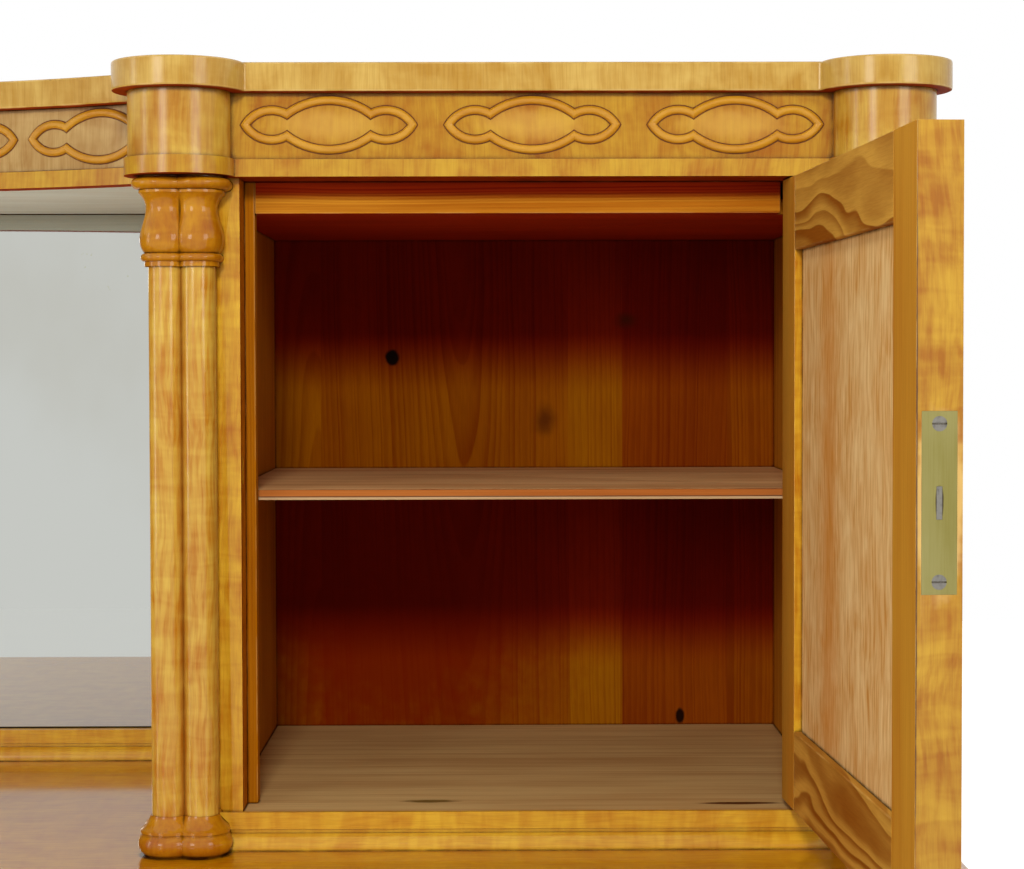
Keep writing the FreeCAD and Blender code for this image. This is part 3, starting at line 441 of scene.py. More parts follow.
def wood(name, figure, light, deep, values, rough, shine, polish, coat_rough=0.26, turn=UPRIGHT,
         shift=(0, 0, 0), dirt=0.85, dirt_depth=0.003, wear=0.6, bump=0.05, soil=None, marks=(),
         stripes=(), jointed=False, repeated=False):
    """A wood of one figure, with its polish and wear, and with an occlusion mask that darkens its creases
    for dust and painted shade together. marks are places, stretches, edges, colours and strengths;
    repeated puts them round every cartouche of the cupboards. stripes are a height, its softness, the
    height above it and a colour that multiplies, for all but the outside of the back; on the back
    boards and the rail they are painted shade."""
    soil = soil or bpy.context.scene.sideboard_colours.crease_dust_and_shade
    t = blank(name)
    place = t.add("TexCoord").outputs["Object"]
    grain_place, tone = place, None
    if jointed:
        grain_place, tone = t.group("Jointed boards", {"Vector": place})
    laid = t.add("Mapping", {"Vector": grain_place, "Rotation": turn, "Location": shift}).outputs[0]
    grain = t.group(figure, {"Vector": laid, "Light": light, "Deep": deep, **values})
    colour = grain["Colour"]
    if tone:
        darker = t.mix(1.0, colour, (0.72, 0.38, 0.5), "MULTIPLY")
        colour = t.mix(tone, colour, darker)
    if stripes:
        _, depth, height = t.add("SeparateXYZ", {"Vector": place}).outputs
        inner = t.math("LESS_THAN", depth, BACK_OUTSIDE)
    for low, soft, high, factor in stripes:
        within = t.math("MULTIPLY", t.spread(height, low - soft, low + soft),
                        t.spread(height, high + 0.0003, high - 0.0003))
        within = t.math("MULTIPLY", within, inner)
        colour = t.mix(within, colour, t.mix(1.0, colour, factor, "MULTIPLY"))
    marked = place
    if repeated:
        pitch = bpy.context.scene.sideboard_sizes.pitch
        marked = t.vector("WRAP", t.vector("ABSOLUTE", place), (CUPBOARD + pitch / 2, 9, 9),
                          (CUPBOARD - pitch / 2, -9, -9))
    for spot, stretch, edge, mark_colour, strength in marks:
        mask = t.group("Mark", {"Vector": marked, "Place": spot, "Stretch": stretch, "Edge": edge})
        colour = t.mix(t.math("MULTIPLY", mask["Mask"], strength), colour, mark_colour)
    # The occlusion mask darkens creases, contacts and undersides: partly dust, partly painted shade.
    hollow = t.add("AmbientOcclusion", {"Distance": dirt_depth}, samples=6).outputs["AO"]
    crease = t.spread(hollow, 0.82, 0.48)
    worn = t.add("Attribute", attribute_name="worn").outputs["Fac"]
    worn_and_shaded = t.group("Age", {"Colour": colour, "Vector": place, "Dirt colour": soil,
                           "Crease": crease, "Dust and shade": dirt, "Worn": worn, "Wear": wear})
    relief = t.add("Bump", {"Strength": bump, "Distance": 0.0005, "Height": grain["Height"]})
    roughness = t.spread(worn_and_shaded["Dust and shade"], 0.0, 1.0, rough, 0.8)
    shade(t, {"Base Color": worn_and_shaded["Colour"], "Roughness": roughness, "Specular IOR Level": shine,
              "Coat Weight": polish, "Coat Roughness": coat_rough, "Normal": relief.outputs[0]})


class SIDEBOARD_OT_finishes(bpy.types.Operator):
    """Makes every wood, metal and glass"""
    bl_idname = "sideboard.finishes"
    bl_label = "Finishes"

    def execute(self, context):
        for make in (birch_group, pine_group, wear_and_shade_group, joint_group, mark_group):
            make()
        c = context.scene.sideboard_colours
        veneer = {"Ripple": 0.3, "Cloud": 0.45, "Streak": 0.35, "Fibre": 0.3}
        cross = {"Ripple": 0.15, "Cloud": 0.7, "Streak": 0.3, "Fibre": 0.3}
        turned = {"Ripple": 0.4, "Cloud": 0.4, "Streak": 0.2, "Fibre": 0.15}
        streaked = {"Ripple": 0.24, "Cloud": 0.35, "Streak": 0.45, "Fibre": 0.25}
        satin = {"rough": 0.6, "shine": 0.1, "polish": 0.8, "coat_rough": 0.2}
        bare = {"rough": 0.7, "shine": 0.05, "polish": 0.0, "coat_rough": 0.26}
        soft = {"Ring": 0.0032, "Swirl": 0.014, "Contrast": 0.4, "Fibre": 0.35}
        strong = {**soft, "Contrast": 0.8, "Fibre": 0.5}
        dull = {"rough": 0.75, "shine": 0.08, "polish": 0.0, "wear": 0.3, "bump": 0.12}
        # Painted shade: it darkens and reddens the back across the top of each compartment, where the rail
        # and the shelf cast shadow.
        painted_shade_tint = (0.85, 0.14, 0.2)

        def birch(name, light, deep, values, **more):
            wood(name, "Satin birch", light, deep, values, **{**satin, **more})

        def pine(name, light, deep, values, **more):
            wood(name, "Sawn pine", light, deep, values, **{**dull, **more})
        birch("Cross veneer", c.cross_birch, c.cross_deep, cross)
        # Its deeper occlusion darkening paints the shade under the cornice, with dust.
        birch("Frieze veneer", c.birch, c.birch_deep, cross, shift=(0.3, 0.1, 0.2),
              dirt_depth=0.005, polish=0.5, repeated=True, marks=(
                  ((CUPBOARD, FRIEZE_FRONT, CARTOUCHE_LEVEL), (19, 0, 60), 0.8, paint(222, 176, 80), 0.45),))
        birch("Band veneer", c.band_birch, c.band_deep, cross, shift=(0.1, 0.3, 0.2))
        # The drums take a lighter copy of the frieze birch, with their sheen painted into the colour; its
        # deeper occlusion also paints shade, with dust.
        birch("Drum veneer", c.drum_birch, c.drum_deep, cross, shift=(0.3, 0.2, 0.1), dirt_depth=0.005)
        birch("Stile veneer", c.stile, c.stile_deep, veneer, shift=(0.7, 0, 0.4))
        birch("Rail veneer", c.stile, c.stile_deep, {**veneer, "Cloud": 0.35, "Streak": 0.2}, turn=ALONG)
        birch("Reveal birch", paint(196, 118, 10), paint(150, 72, 0), veneer, shift=(0.4, 0.2, 0.1),
              **{**bare, "rough": 0.52})
        birch("Recessed veneer", c.arc_birch, c.arc_deep, cross, shift=(0.2, 0.4, 0))
        # Its strong occlusion darkening paints the shade under the bands and in the grooves of capitals and
        # feet, with dust.
        birch("Turned birch", c.turned, c.turned_deep, turned, dirt=0.9, polish=0.6, coat_rough=0.1)
        # The shafts' orange crease colour over a wide occlusion paints the shade between the lobes, with
        # some dust.
        birch("Shaft birch", c.shaft, c.shaft_deep, streaked, dirt=0.6, dirt_depth=0.009,
              soil=paint(150, 72, 1), coat_rough=0.13)
        # Its occlusion darkening paints the shade at the bead's feet, with dust.
        birch("Bead birch", c.bead, c.bead_deep, {**turned, "Ripple": 0.1}, turn=ALONG, dirt=0.8,
              coat_rough=0.13)
        # Its deep occlusion darkening paints the contact shadows under the feet and mouldings on the top,
        # with dust.
        birch("Top veneer", c.top_birch, c.top_deep, {**veneer, "Ripple": 0.2}, turn=ALONG, rough=0.5,
              polish=1.0, coat_rough=0.1, dirt=1.0, dirt_depth=0.005)
        # Faces that look down take this darker, redder birch: painted shade under the cornices and bands.
        birch("Shaded underside", paint(164, 62, 3), paint(124, 40, 1), veneer, turn=ALONG, **bare)
        # The free edge takes a darker copy of the stile veneer, painted shade that holds it down under the
        # near lamp; the pale mark round the plate is wear.
        birch("Shaded door edge", paint(196, 152, 42), paint(156, 94, 4), {**veneer, "Cloud": 0.6},
              shift=(0.7, 0, 0.4), marks=(
                  (LOCK_PLATE, (58, 0, 17), 0.3, paint(226, 188, 116), 0.55),
                  ((0.7951, -0.437, 1.15), (800, 300, 3.4), 0.6, paint(66, 34, 22), 0.9)))
        pine("Carcass pine", c.pine, c.pine_deep, soft, turn=ALONG, shift=(0.05, 0.06, 0))
        pine("Floor pine", c.pine, c.pine_deep, {**soft, "Ring": 0.009, "Fibre": 0.5}, turn=ALONG,
             shift=(0.02, 0.3, 0), marks=(
                 ((0.5131, -0.004, 0.908), (40, 130, 40), 0.6, paint(120, 92, 40), 1.0),
                 ((0.7449, -0.016, 0.908), (26, 160, 40), 0.5, paint(90, 50, 20), 1.0)))
        pine("Wall pine", c.wall_pine, c.wall_deep, strong, shift=(0.2, 0.06, 0))
        # Its stripes and its first mark are painted shade; its board tones, knots and smudges are the wood's
        # own.
        pine("Back pine", c.back_pine, c.back_deep,
             {"Ring": 0.0048, "Swirl": 0.022, "Contrast": 0.55, "Fibre": 0.3},
             turn=(radians(3), radians(0.6), 0), shift=(-0.6, -0.3, 0), jointed=True,
             stripes=((1.235, 0.03, 1.4, painted_shade_tint), (0.985, 0.03, 1.138, painted_shade_tint)), marks=(
                 # Painted shade over the lower left of the right cupboard's lower compartment, where the
                 # post keeps the light off.
                 ((0.47, 0.35, 0.98), (5, 130, 5.5), 0.8, paint(124, 22, 0), 0.85),
                 ((0.4702, 0.35, 1.2411), (130, 130, 115), 0.35, paint(16, 6, 2), 1.0),
                 ((0.7304, 0.35, 0.9156), (190, 190, 120), 0.4, paint(30, 10, 2), 1.0),
                 ((0.608, 0.35, 1.185), (70, 70, 50), 0.95, paint(96, 44, 4), 1.0),
                 ((0.681, 0.35, 1.275), (70, 70, 100), 0.95, paint(90, 30, 2), 1.0)))
        pine("Outer pine", paint(186, 134, 66), paint(146, 92, 36), {**soft, "Ring": 0.006},
             shift=(0.4, 0.2, 0))
        # Its stripe paints the shadow that the band casts across the top of the rail and of the ceilings'
        # and stops' fronts.
        pine("Rail pine", paint(206, 138, 36), paint(164, 84, 4), strong, turn=ALONG,
             shift=(0.1, 0.05, 0.2), stripes=((1.3598, 0.004, 1.4, (0.8, 0.16, 0.1)),))
        pine("Stop pine", paint(180, 112, 10), paint(140, 68, 2), soft, shift=(0.1, 0.05, 0.2))
        # The ceilings' undersides and the stops' heads take this deep red pine: painted shade inside the
        # cupboards.
        pine("Shaded ceiling pine", paint(174, 50, 6), paint(140, 32, 1), soft, turn=ALONG,
             shift=(0.1, 0.05, 0.2))
        wood("Door pine", "Satin birch", c.door_pine, c.door_deep,
             {"Ripple": 0.0, "Cloud": 0.4, "Streak": 0.55, "Fibre": 0.4}, shift=(0.3, 0.1, 0),
             marks=(((0.79, -0.165, 1.13), (0, 21, 2.2), 0.9, paint(206, 128, 26), 0.6),), **dull)
        pine("Door stile pine", paint(206, 150, 48), paint(188, 118, 30), {**soft, "Ring": 0.006},
             shift=(0.1, 0.2, 0))
        pine("Door rail pine", c.rail_pine, c.rail_deep,
             {"Ring": 0.013, "Swirl": 0.15, "Contrast": 0.85, "Fibre": 0.3}, turn=DEEP,
             shift=(0.1, 0.1, 0.4))
        pine("Shelf pine", paint(230, 184, 126), paint(178, 118, 62), strong, turn=ALONG,
             shift=(0.3, 0.2, 0.1))
        pine("Shelf edge", paint(206, 174, 132), paint(172, 126, 80), soft, turn=ALONG,
             shift=(0.3, 0.2, 0.1), stripes=((1.1367, 0.0003, 1.145, (0.86, 0.42, 0.16)),
                                             (1.1359, 0.0002, 1.1367, (0.25, 0.12, 0.06)),
                                             (1.1413, 0.0002, 1.145, (0.3, 0.15, 0.08))))
        pine("Soffit pine", c.soffit, c.soffit_deep, soft, turn=ALONG, shift=(0.3, 0.3, 0.1))
        # A dark finish for the ribbon along the beads, for dust and painted shade at their feet.
        dirt = blank("Old dirt")
        speck = dirt.noise(dirt.add("TexCoord").outputs["Object"], (300, 300, 300), 2)
        shade(dirt, {"Base Color": dirt.mix(speck, c.crease_dust_and_shade, paint(120, 62, 8)), "Roughness": 0.7})
        self.metals(c)
        self.glass()
        return {"FINISHED"}

    def metals(self, c):
        """Brushed plates and worn steel. Brushing runs up the lock."""
        for name, colour, spot, stretch, metallic, rough in (
                ("Lock brass", c.brass, paint(132, 122, 58), (30, 30, 9), 0.35, 0.42),
                ("Screw steel", c.steel, paint(104, 100, 94), (300, 300, 300), 0.7, 0.36)):
            t = blank(name)
            place = t.add("TexCoord").outputs["Object"]
            tarnish = t.spread(t.noise(place, stretch, 4), 0.4, 0.8)
            brushed = t.spread(t.noise(place, (1300, 1300, 25), 2), 0.35, 0.75)
            hollow = t.add("AmbientOcclusion", {"Distance": 0.0025}, samples=6).outputs["AO"]
            colour = t.mix(t.math("MULTIPLY_ADD", brushed, 0.25, tarnish, clamp=True), colour, spot)
            colour = t.mix(t.spread(hollow, 0.75, 0.3), colour, paint(62, 48, 20))
            # A dark mark round the bolt's slot paints the shade in the gap round the bolt.
            if name == "Lock brass":
                slot = t.group("Mark", {"Vector": place, "Place": LOCK_SLOT,
                                        "Stretch": (350, 0, 92), "Edge": 0.3})
                colour = t.mix(slot["Mask"], colour, paint(58, 44, 16))
            relief = t.add("Bump", {"Strength": 0.06, "Distance": 0.0003, "Height": brushed})
            shade(t, {"Base Color": colour, "Metallic": metallic,
                      "Roughness": t.spread(tarnish, 0, 1, rough, 0.6), "Normal": relief.outputs[0]})

    def glass(self):
        t = blank("Old mirror")
        place = t.add("TexCoord").outputs["Object"]
        bloom = t.spread(t.noise(place, (5, 5, 3), 4), 0.4, 0.75)
        colour = t.mix(bloom, paint(198, 200, 195), paint(190, 190, 182))
        speck = t.math("MULTIPLY", t.spread(t.noise(place, (160, 160, 160), 3), 0.66, 0.74),
                       t.group("Mark", {"Vector": place, "Place": (0.2137, 0.342, 1.3277),
                                        "Stretch": (30, 30, 26), "Edge": 0.9})["Mask"])
        colour = t.mix(speck, colour, paint(176, 178, 140))
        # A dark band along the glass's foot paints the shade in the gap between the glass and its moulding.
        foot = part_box("mirror_moulding")[1].z
        height = t.add("SeparateXYZ", {"Vector": place}).outputs[2]
        colour = t.mix(t.spread(height, foot + 0.0016, foot + 0.0008), colour, paint(24, 12, 4))
        shade(t, {"Base Color": colour, "Metallic": 1.0, "Roughness": t.spread(bloom, 0, 1, 0.015, 0.03)})


# Lower cabinet and cases

def beneath(normal, centre):
    """1 on the faces that look down, and 0 on the others; the faces that look down take painted shade."""
    return int(normal.z < -0.7)


class SIDEBOARD_OT_lower_cabinet(bpy.types.Operator):
    """Dresses the plinth, cabinet, top, drawers and lower doors"""
    bl_idname = "sideboard.lower_cabinet"
    bl_label = "Lower cabinet"

    def execute(self, context):
        worked_board("base_top", ["Top veneer"], softness=0.0022)
        worked_board("plinth", ["Rail veneer"], softness=0.0015)
        for node in ("base_sides", "base_posts", "base_drums"):
            worked_board(node, ["Stile veneer"])
        for node in ("base_top_rails", "drawer_dividers"):
            worked_board(node, ["Rail veneer"])
        for side in ("right", "left", "centre"):
            worked_board(f"{side}_drawer", ["Cross veneer"], f"{side}_drawer")
        for name in ("right", "left", "centre_right", "centre_left"):
            worked_board(f"base_{name}_door", ["Stile veneer"], f"base_{name}_door")
        for node in ("base_bottom", "base_partitions", "base_shelves"):
            painted(node, "Carcass pine")
        painted("base_back", "Outer pine")
        return {"FINISHED"}


class SIDEBOARD_OT_cupboards(bpy.types.Operator):
    """Dresses the upper cupboards: posts, walls, backs, floors and shelves"""
    bl_idname = "sideboard.cupboards"
    bl_label = "Upper cupboards"

    def execute(self, context):
        for side, middle in (("right", CUPBOARD), ("left", -CUPBOARD)):
            def inside(normal, centre, middle=middle):
                """0 outside, and 1 on the faces that look into the cupboard."""
                return int(normal.x * (centre.x - middle) < -0.002)
            worked_board(f"{side}_posts", ["Stile veneer", "Reveal birch"], pick=inside)
            worked_board(f"{side}_sides", ["Stile veneer", "Wall pine"], pick=inside)
            painted(f"{side}_back_boards", "Back pine")
        worked_board("cupboard_floors", ["Floor pine"], softness=0.0012)

        def stop(normal, centre):
            """0 on the head's front, 1 under it and 2 on the uprights."""
            return 2 if abs(abs(centre.x) - CUPBOARD) > STRIP_FROM else beneath(normal, centre)

        def edge(normal, centre):
            return int(normal.y < -0.7)
        worked_board("cupboard_ceilings", ["Rail pine", "Shaded ceiling pine"], pick=beneath)
        worked_board("cupboard_door_stops", ["Rail pine", "Shaded ceiling pine", "Stop pine"],
                     pick=stop)
        worked_board("cupboard_shelves", ["Shelf pine", "Shelf edge"], pick=edge,
                     softness=0.0005)
        worked_board("cupboard_base_mouldings", ["Rail veneer"], softness=0.0005)
        return {"FINISHED"}


class SIDEBOARD_OT_entablature(bpy.types.Operator):
    """Dresses the bands, friezes and cornices"""
    bl_idname = "sideboard.entablature"
    bl_label = "Band, frieze and cornice"

    def execute(self, context):
        def drum(normal, centre):
            return int(abs(abs(centre.x) - CUPBOARD) > DRUM_FROM)
        for side in ("right", "left", "centre"):
            frieze = "Recessed veneer" if side == "centre" else "Frieze veneer"
            worked_board(f"{side}_cornice", ["Cross veneer", "Shaded underside"], pick=beneath, softness=0.0014)
            worked_board(f"{side}_frieze", [frieze, "Drum veneer"], softness=0.0006,
                         pick=None if side == "centre" else drum)
            worked_board(f"{side}_band", ["Band veneer", "Shaded underside"], pick=beneath, softness=0.0)
        return {"FINISHED"}


# Columns

# Shares of a lobe's radius, and of the height of a capital or a foot
CAPITAL_RADII = (1.43, 1.21, 1.43, 1.12, 1.53, 1.95, 1.5)
CAPITAL_LEVELS = (0, 0.055, 0.145, 0.38, 0.66, 0.81, 0.84, 0.846, 0.983)
FOOT_RADII = (1.81, 1.4, 1.6, 1.68, 1.08)
FOOT_LEVELS = (0.29, 0.53, 0.58, 0.65)


def through(points, steps):
    """Points along a smooth curve through three or four points."""
    spots = [Vector(point) for point in points]
    times = [0.0]
    for first, second in zip(spots, spots[1:]):
        times.append(times[-1] + (second - first).length)
    line = []
    for step in range(steps + 1):
        time = times[-1] * step / steps
        place = Vector((0, 0))
        for own, spot in zip(times, spots):
            place += spot * math.prod((time - other) / (own - other) for other in times if other != own)
        line.append(place)
    return line


def lobed(outline, offset, steps=56):
    """Four turned lobes round a square core. One lobe is spun, cut at the two middle
    planes and mirrored across them."""
    shell = bmesh.new()
    points = [shell.verts.new((offset + radius, offset, level)) for radius, level in outline]
    edges = [shell.edges.new(pair) for pair in zip(points, points[1:])]
    bmesh.ops.spin(shell, geom=points + edges, cent=(offset, offset, 0), axis=(0, 0, 1),
                   angle=radians(360), steps=steps, use_merge=True)
    for normal in ((1, 0, 0), (0, 1, 0)):
        bmesh.ops.bisect_plane(shell, geom=everything(shell), plane_co=(0, 0, 0), plane_no=normal,
                               clear_inner=True)
    hidden = [face for face in shell.faces
              if face.calc_center_median().x + face.calc_center_median().y < offset]
    bmesh.ops.delete(shell, geom=hidden, context="FACES")
    mirrored(shell, "XY", 1e-5)
    bmesh.ops.remove_doubles(shell, verts=shell.verts, dist=5e-6)
    rims = [edge for edge in shell.edges if edge.is_boundary]
    bmesh.ops.edgeloop_fill(shell, edges=rims)
    bmesh.ops.recalc_face_normals(shell, faces=shell.faces)
    return shell


def copies(shell, places):
    """The same shape at several places, as one mesh."""
    whole = bmesh.new()
    mesh = settled(shell, "copy")
    for place in places:
        bmesh.ops.translate(whole, verts=stamped(whole, mesh), vec=place)
    bpy.data.meshes.remove(mesh)
    return whole


def bulged(inner, outer, low, high, steps):
    """Points round a half-round moulding, from its foot up to its top."""
    middle, half = (low + high) / 2, (high - low) / 2
    turns = [math.pi * (step / steps - 0.5) for step in range(steps + 1)]
    return [(inner + (outer - inner) * math.cos(turn), middle + half * math.sin(turn))
            for turn in turns]


def capital_outline(radius, height):
    ring, fillet, bulge, neck, lip, torus, pad = (radius * part for part in CAPITAL_RADII)
    (fillet_low, ring_low, ring_high, bulge_mid, neck_mid, lip_low, lip_high, torus_low,
     torus_high) = (height * part for part in CAPITAL_LEVELS)
    line = [(fillet, fillet_low)]
    line += bulged(fillet, ring, ring_low, ring_high, 10)
    line += through([(fillet, ring_high), (bulge, bulge_mid), (neck, neck_mid), (lip, lip_low)], 26)[1:]
    line += [(lip, lip_high)] + bulged(pad, torus, torus_low, torus_high, 14)
    line += [(pad, height)]
    return [tuple(point) for point in line]


def foot_outline(radius, height):
    torus, tread, neck, ridge, top = (radius * part for part in FOOT_RADII)
    torus_mid, torus_high, groove_high, ridge_high = (height * part for part in FOOT_LEVELS)
    hollow = (top + (ridge - top) * 0.3, (ridge_high + height) / 2)
    line = through([(tread, 0), (torus, torus_mid), (neck, torus_high)], 16)
    line += [(neck, groove_high), (ridge, groove_high)]
    line += through([(ridge, ridge_high), hollow, (top, height)], 8)
    return [tuple(point) for point in line]


class SIDEBOARD_OT_columns(bpy.types.Operator):
    """Turns the clustered columns of both storeys"""
    bl_idname = "sideboard.columns"
    bl_label = "Clustered columns"

    def execute(self, context):
        s = context.scene.sideboard_sizes
        for prefix in ("", "base_"):
            low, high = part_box(prefix + "column_shafts")
            line, ground, neck = (low.y + high.y) / 2, low.z - s.foot, high.z
            apart = high.x - s.lobe - s.lobe_offset - CUPBOARD
            ends = [hand * (CUPBOARD + end * apart) for hand in (-1, 1) for end in (-1, 1)]
            tops, feet = ("base_column_ends",) * 2 if prefix else ("column_capitals", "column_feet")
            shafts = prefix + "column_shafts"
            for part, outline, level, material, node in (
                    ("shafts", [(s.lobe, low.z), (s.lobe, neck)], 0, "Shaft birch", shafts),
                    ("capitals", capital_outline(s.lobe, s.capital), neck, "Turned birch", tops),
                    ("feet", foot_outline(s.lobe, s.foot), ground, "Turned birch", feet)):
                turned = copies(lobed(outline, s.lobe_offset), [(x, line, level) for x in ends])
                finished(f"{prefix}turned_{part}", turned, [material], "carcass", (node,))
        return {"FINISHED"}


# Cartouches

WAIST = (0.0303, 0.0078)    # where a cartouche's long arc meets its short arc
LOBE = (0.0424, 0.0106)     # the widest place of its short arc
RUN_ON = 0.009              # how far a bead runs on past its end before the mitre is cut
BEAD_STEP = 0.0012


def circle_through(first, second, third):
    """Centre and radius of the circle through three points of a plane."""
    a, b, c = (Vector(point) for point in (first, second, third))
    d = 2 * (a.x * (b.y - c.y) + b.x * (c.y - a.y) + c.x * (a.y - b.y))
    x = (a.length_squared * (b.y - c.y) + b.length_squared * (c.y - a.y)
         + c.length_squared * (a.y - b.y)) / d
    y = (a.length_squared * (c.x - b.x) + b.length_squared * (a.x - c.x)
         + c.length_squared * (b.x - a.x)) / d
    centre = Vector((x, y))
    return centre, (a - centre).length


def arc_of_bead(points, section, cuts):
    """A bead spun along an arc in XZ, run on past both ends and cut there. section is
    offsets across the bead and heights off the frieze; cuts are places and normals."""
    centre, radius = circle_through(*points)
    start, end = (Vector(points[number]) - centre for number in (0, 2))
    first, last = math.atan2(start.y, start.x), math.atan2(end.y, end.x)
    run_on = math.copysign(RUN_ON / radius, last - first)
    first, sweep = first - run_on, last - first + 2 * run_on
    shell = bmesh.new()
    ring = []
    for across, off in section:
        out = radius + across
        ring.append(shell.verts.new((centre.x + out * math.cos(first), -off,
                                     centre.y + out * math.sin(first))))
    edges = [shell.edges.new(pair) for pair in zip(ring, ring[1:])]
    steps = max(8, int(abs(sweep) * radius / BEAD_STEP))
    bmesh.ops.spin(shell, geom=ring + edges, cent=(centre.x, 0, centre.y), axis=(0, -1, 0),
                   angle=sweep, steps=steps)
    for place, normal in cuts:
        bmesh.ops.bisect_plane(shell, geom=everything(shell), plane_co=(place[0], 0, place[1]),
                               plane_no=(normal[0], 0, normal[1]), clear_outer=True)
    return shell


def cartouche(section, reach, rise):
    """Six arcs with mitred corners, from a quarter mirrored twice."""
    crown, tip = (0, rise), (reach, 0)
    long_arc = [(-WAIST[0], WAIST[1]), crown, WAIST]
    short_arc = [WAIST, LOBE, tip]
    leaving = circle_through(*long_arc)[0] - Vector(WAIST)
    arriving = circle_through(*short_arc)[0] - Vector(WAIST)
    along_first = Vector((-leaving.y, leaving.x)).normalized()
    along_second = Vector((-arriving.y, arriving.x)).normalized()
    mitre = along_first + along_second
    if mitre.x < 0:
        mitre = -mitre
    whole = bmesh.new()
    for points, cuts in ((long_arc, [(WAIST, mitre), ((0, 0), (-1, 0))]),
                         (short_arc, [(WAIST, -mitre), ((0, 0), (0, -1))])):
        mesh = settled(arc_of_bead(points, section, cuts), "arc")
        whole.from_mesh(mesh)
        bpy.data.meshes.remove(mesh)
    mirrored(whole, "XZ", 2e-5)
    bmesh.ops.remove_doubles(whole, verts=whole.verts, dist=2e-5)
    bmesh.ops.recalc_face_normals(whole, faces=whole.faces)
    return whole


def bead_section(half_width, height, sunk=0.0006):
    """A half-round bead, a little sunk in the frieze."""
    steps = 10
    turns = [math.pi * step / steps for step in range(steps + 1)]
    round_part = [(-half_width * math.cos(turn), height * math.sin(turn)) for turn in turns]
    return [(-half_width, -sunk)] + round_part + [(half_width, -sunk)]


class SIDEBOARD_OT_cartouches(bpy.types.Operator):
    """Lays the raised cartouches on the friezes, with a dark ribbon along them for dust and painted shade at
    the beads' feet
    """
    bl_idname = "sideboard.cartouches"
    bl_label = "Cartouches"

    def execute(self, context):
        s = context.scene.sideboard_sizes
        # The ribbon along each bead stands for dust and painted shade at its feet.
        width, sunk, proud = s.bead + s.bead_dust_and_shade, -0.0004, 0.0002
        dust_and_shade_section = [(-width, sunk), (-width, proud), (width, proud), (width, sunk)]
        for name, section, material in (
                ("cartouche_beads", bead_section(s.bead, s.bead_rise), "Bead birch"),
                ("cartouche_dust_and_shade", dust_and_shade_section, "Old dirt")):
            mesh = settled(cartouche(section, s.reach, s.rise), "cartouche")
            whole = bmesh.new()
            for middle, count, pitch, bent in ((-CUPBOARD, 3, s.pitch, False), (0, 5, s.arc_pitch, True),
                                               (CUPBOARD, 3, s.pitch, False)):
                for number in range(count):
                    fresh = stamped(whole, mesh)
                    shift = (number - (count - 1) / 2) * pitch
                    bmesh.ops.translate(whole, verts=fresh, vec=(shift, 0, CARTOUCHE_LEVEL))
                    if not bent:
                        bmesh.ops.translate(whole, verts=fresh, vec=(middle, FRIEZE_FRONT, 0))
                        continue
                    for vert in fresh:
                        turn, out = vert.co.x / HOLLOW_RADIUS, HOLLOW_RADIUS + vert.co.y
                        vert.co.x = out * math.sin(turn)
                        vert.co.y = HOLLOW_AXIS + out * math.cos(turn)
            bpy.data.meshes.remove(mesh)
            whole.normal_update()
            finished(name, whole, [material], "carcass", ("frieze_cartouches",), sharp=32)
        return {"FINISHED"}


# Doors, locks and mirror

class SIDEBOARD_OT_doors(bpy.types.Operator):
    """Dresses the two upper doors"""
    bl_idname = "sideboard.doors"
    bl_label = "Upper doors"

    def execute(self, context):
        def open_stile(normal, centre):
            """Veneer on the outside, pine inside and a darker veneer on the free edge, whose darkness is
            painted shade against the stronger lamp light there.
            """
            if normal.y < -0.5 and centre.y < FREE_EDGE:
                return 2
            return 0 if normal.x > 0.5 or normal.y < -0.5 else 1

        def open_rail(normal, centre):
            return 0 if normal.x > 0.5 else 1

        def shut_frame(normal, centre):
            return 0 if normal.y < 0.5 else 1
        for body, part, materials, slot, pick in (
                ("right_door", "stiles", ["Stile veneer", "Door stile pine", "Shaded door edge"], "pine_door",
                 open_stile),
                ("right_door", "rails", ["Rail veneer", "Door rail pine"], "pine_door", open_rail),
                ("right_door", "panel", ["Stile veneer", "Door pine"], "pine_door", open_rail),
                ("left_door", "frame", ["Stile veneer", "Door stile pine"], "birch", shut_frame),
                ("left_door", "panel", ["Stile veneer", "Door pine"], "pine_door", shut_frame)):
            worked_board(f"{body}_{part}", materials, body, pick)
        return {"FINISHED"}


class SIDEBOARD_OT_locks(bpy.types.Operator):
    """Dresses the lock plates, screws, bolts and pivot pins"""
    bl_idname = "sideboard.locks"
    bl_label = "Locks and pins"

    def execute(self, context):
        for node in ("right_door_lock", "left_door_lock", "right_door_pins"):
            painted(node, "Lock brass")
        for node in ("right_door_screws", "right_door_bolt", "left_door_bolt"):
            painted(node, "Screw steel")
        return {"FINISHED"}


class SIDEBOARD_OT_mirror(bpy.types.Operator):
    """Dresses the mirror, its soffit, moulding and back"""
    bl_idname = "sideboard.mirror"
    bl_label = "Mirror"

    def execute(self, context):
        worked_board("mirror_glass", ["Old mirror"], softness=0.0005)
        worked_board("mirror_soffit", ["Soffit pine"])
        worked_board("mirror_moulding", ["Rail veneer"], softness=0.0005)
        painted("mirror_backboard", "Outer pine")
        return {"FINISHED"}


# Stage

CAMERA_PLACE = (0.56064, -1.67346, 1.23559)
CAMERA_TURNS = (-0.00877, -0.03152, -0.00222)   # pan, tilt and roll from a level look along +Y
FLOOR_SHOWN, FLOOR_REFLECTED = 0.85, 0.67       # how far the floor glows to the camera and to gloss
GLOW_FROM, GLOW_FULL = 1.3, 3.2                 # how far from the sideboard it begins to and does


def lamp(name, place, target, size, watts, glossy=True):
    data = bpy.data.lights.new(name, "AREA")
    data.shape, data.size, data.size_y, data.energy = "RECTANGLE", size[0], size[1], watts
    light = bpy.data.objects.new(name, data)
    bpy.context.scene.collection.objects.link(light)
    light.location = place
    aim = Vector(target) - Vector(place)
    light.rotation_euler = aim.to_track_quat("-Z", "Y").to_euler()
    light.visible_glossy = glossy
    light.visible_camera = False


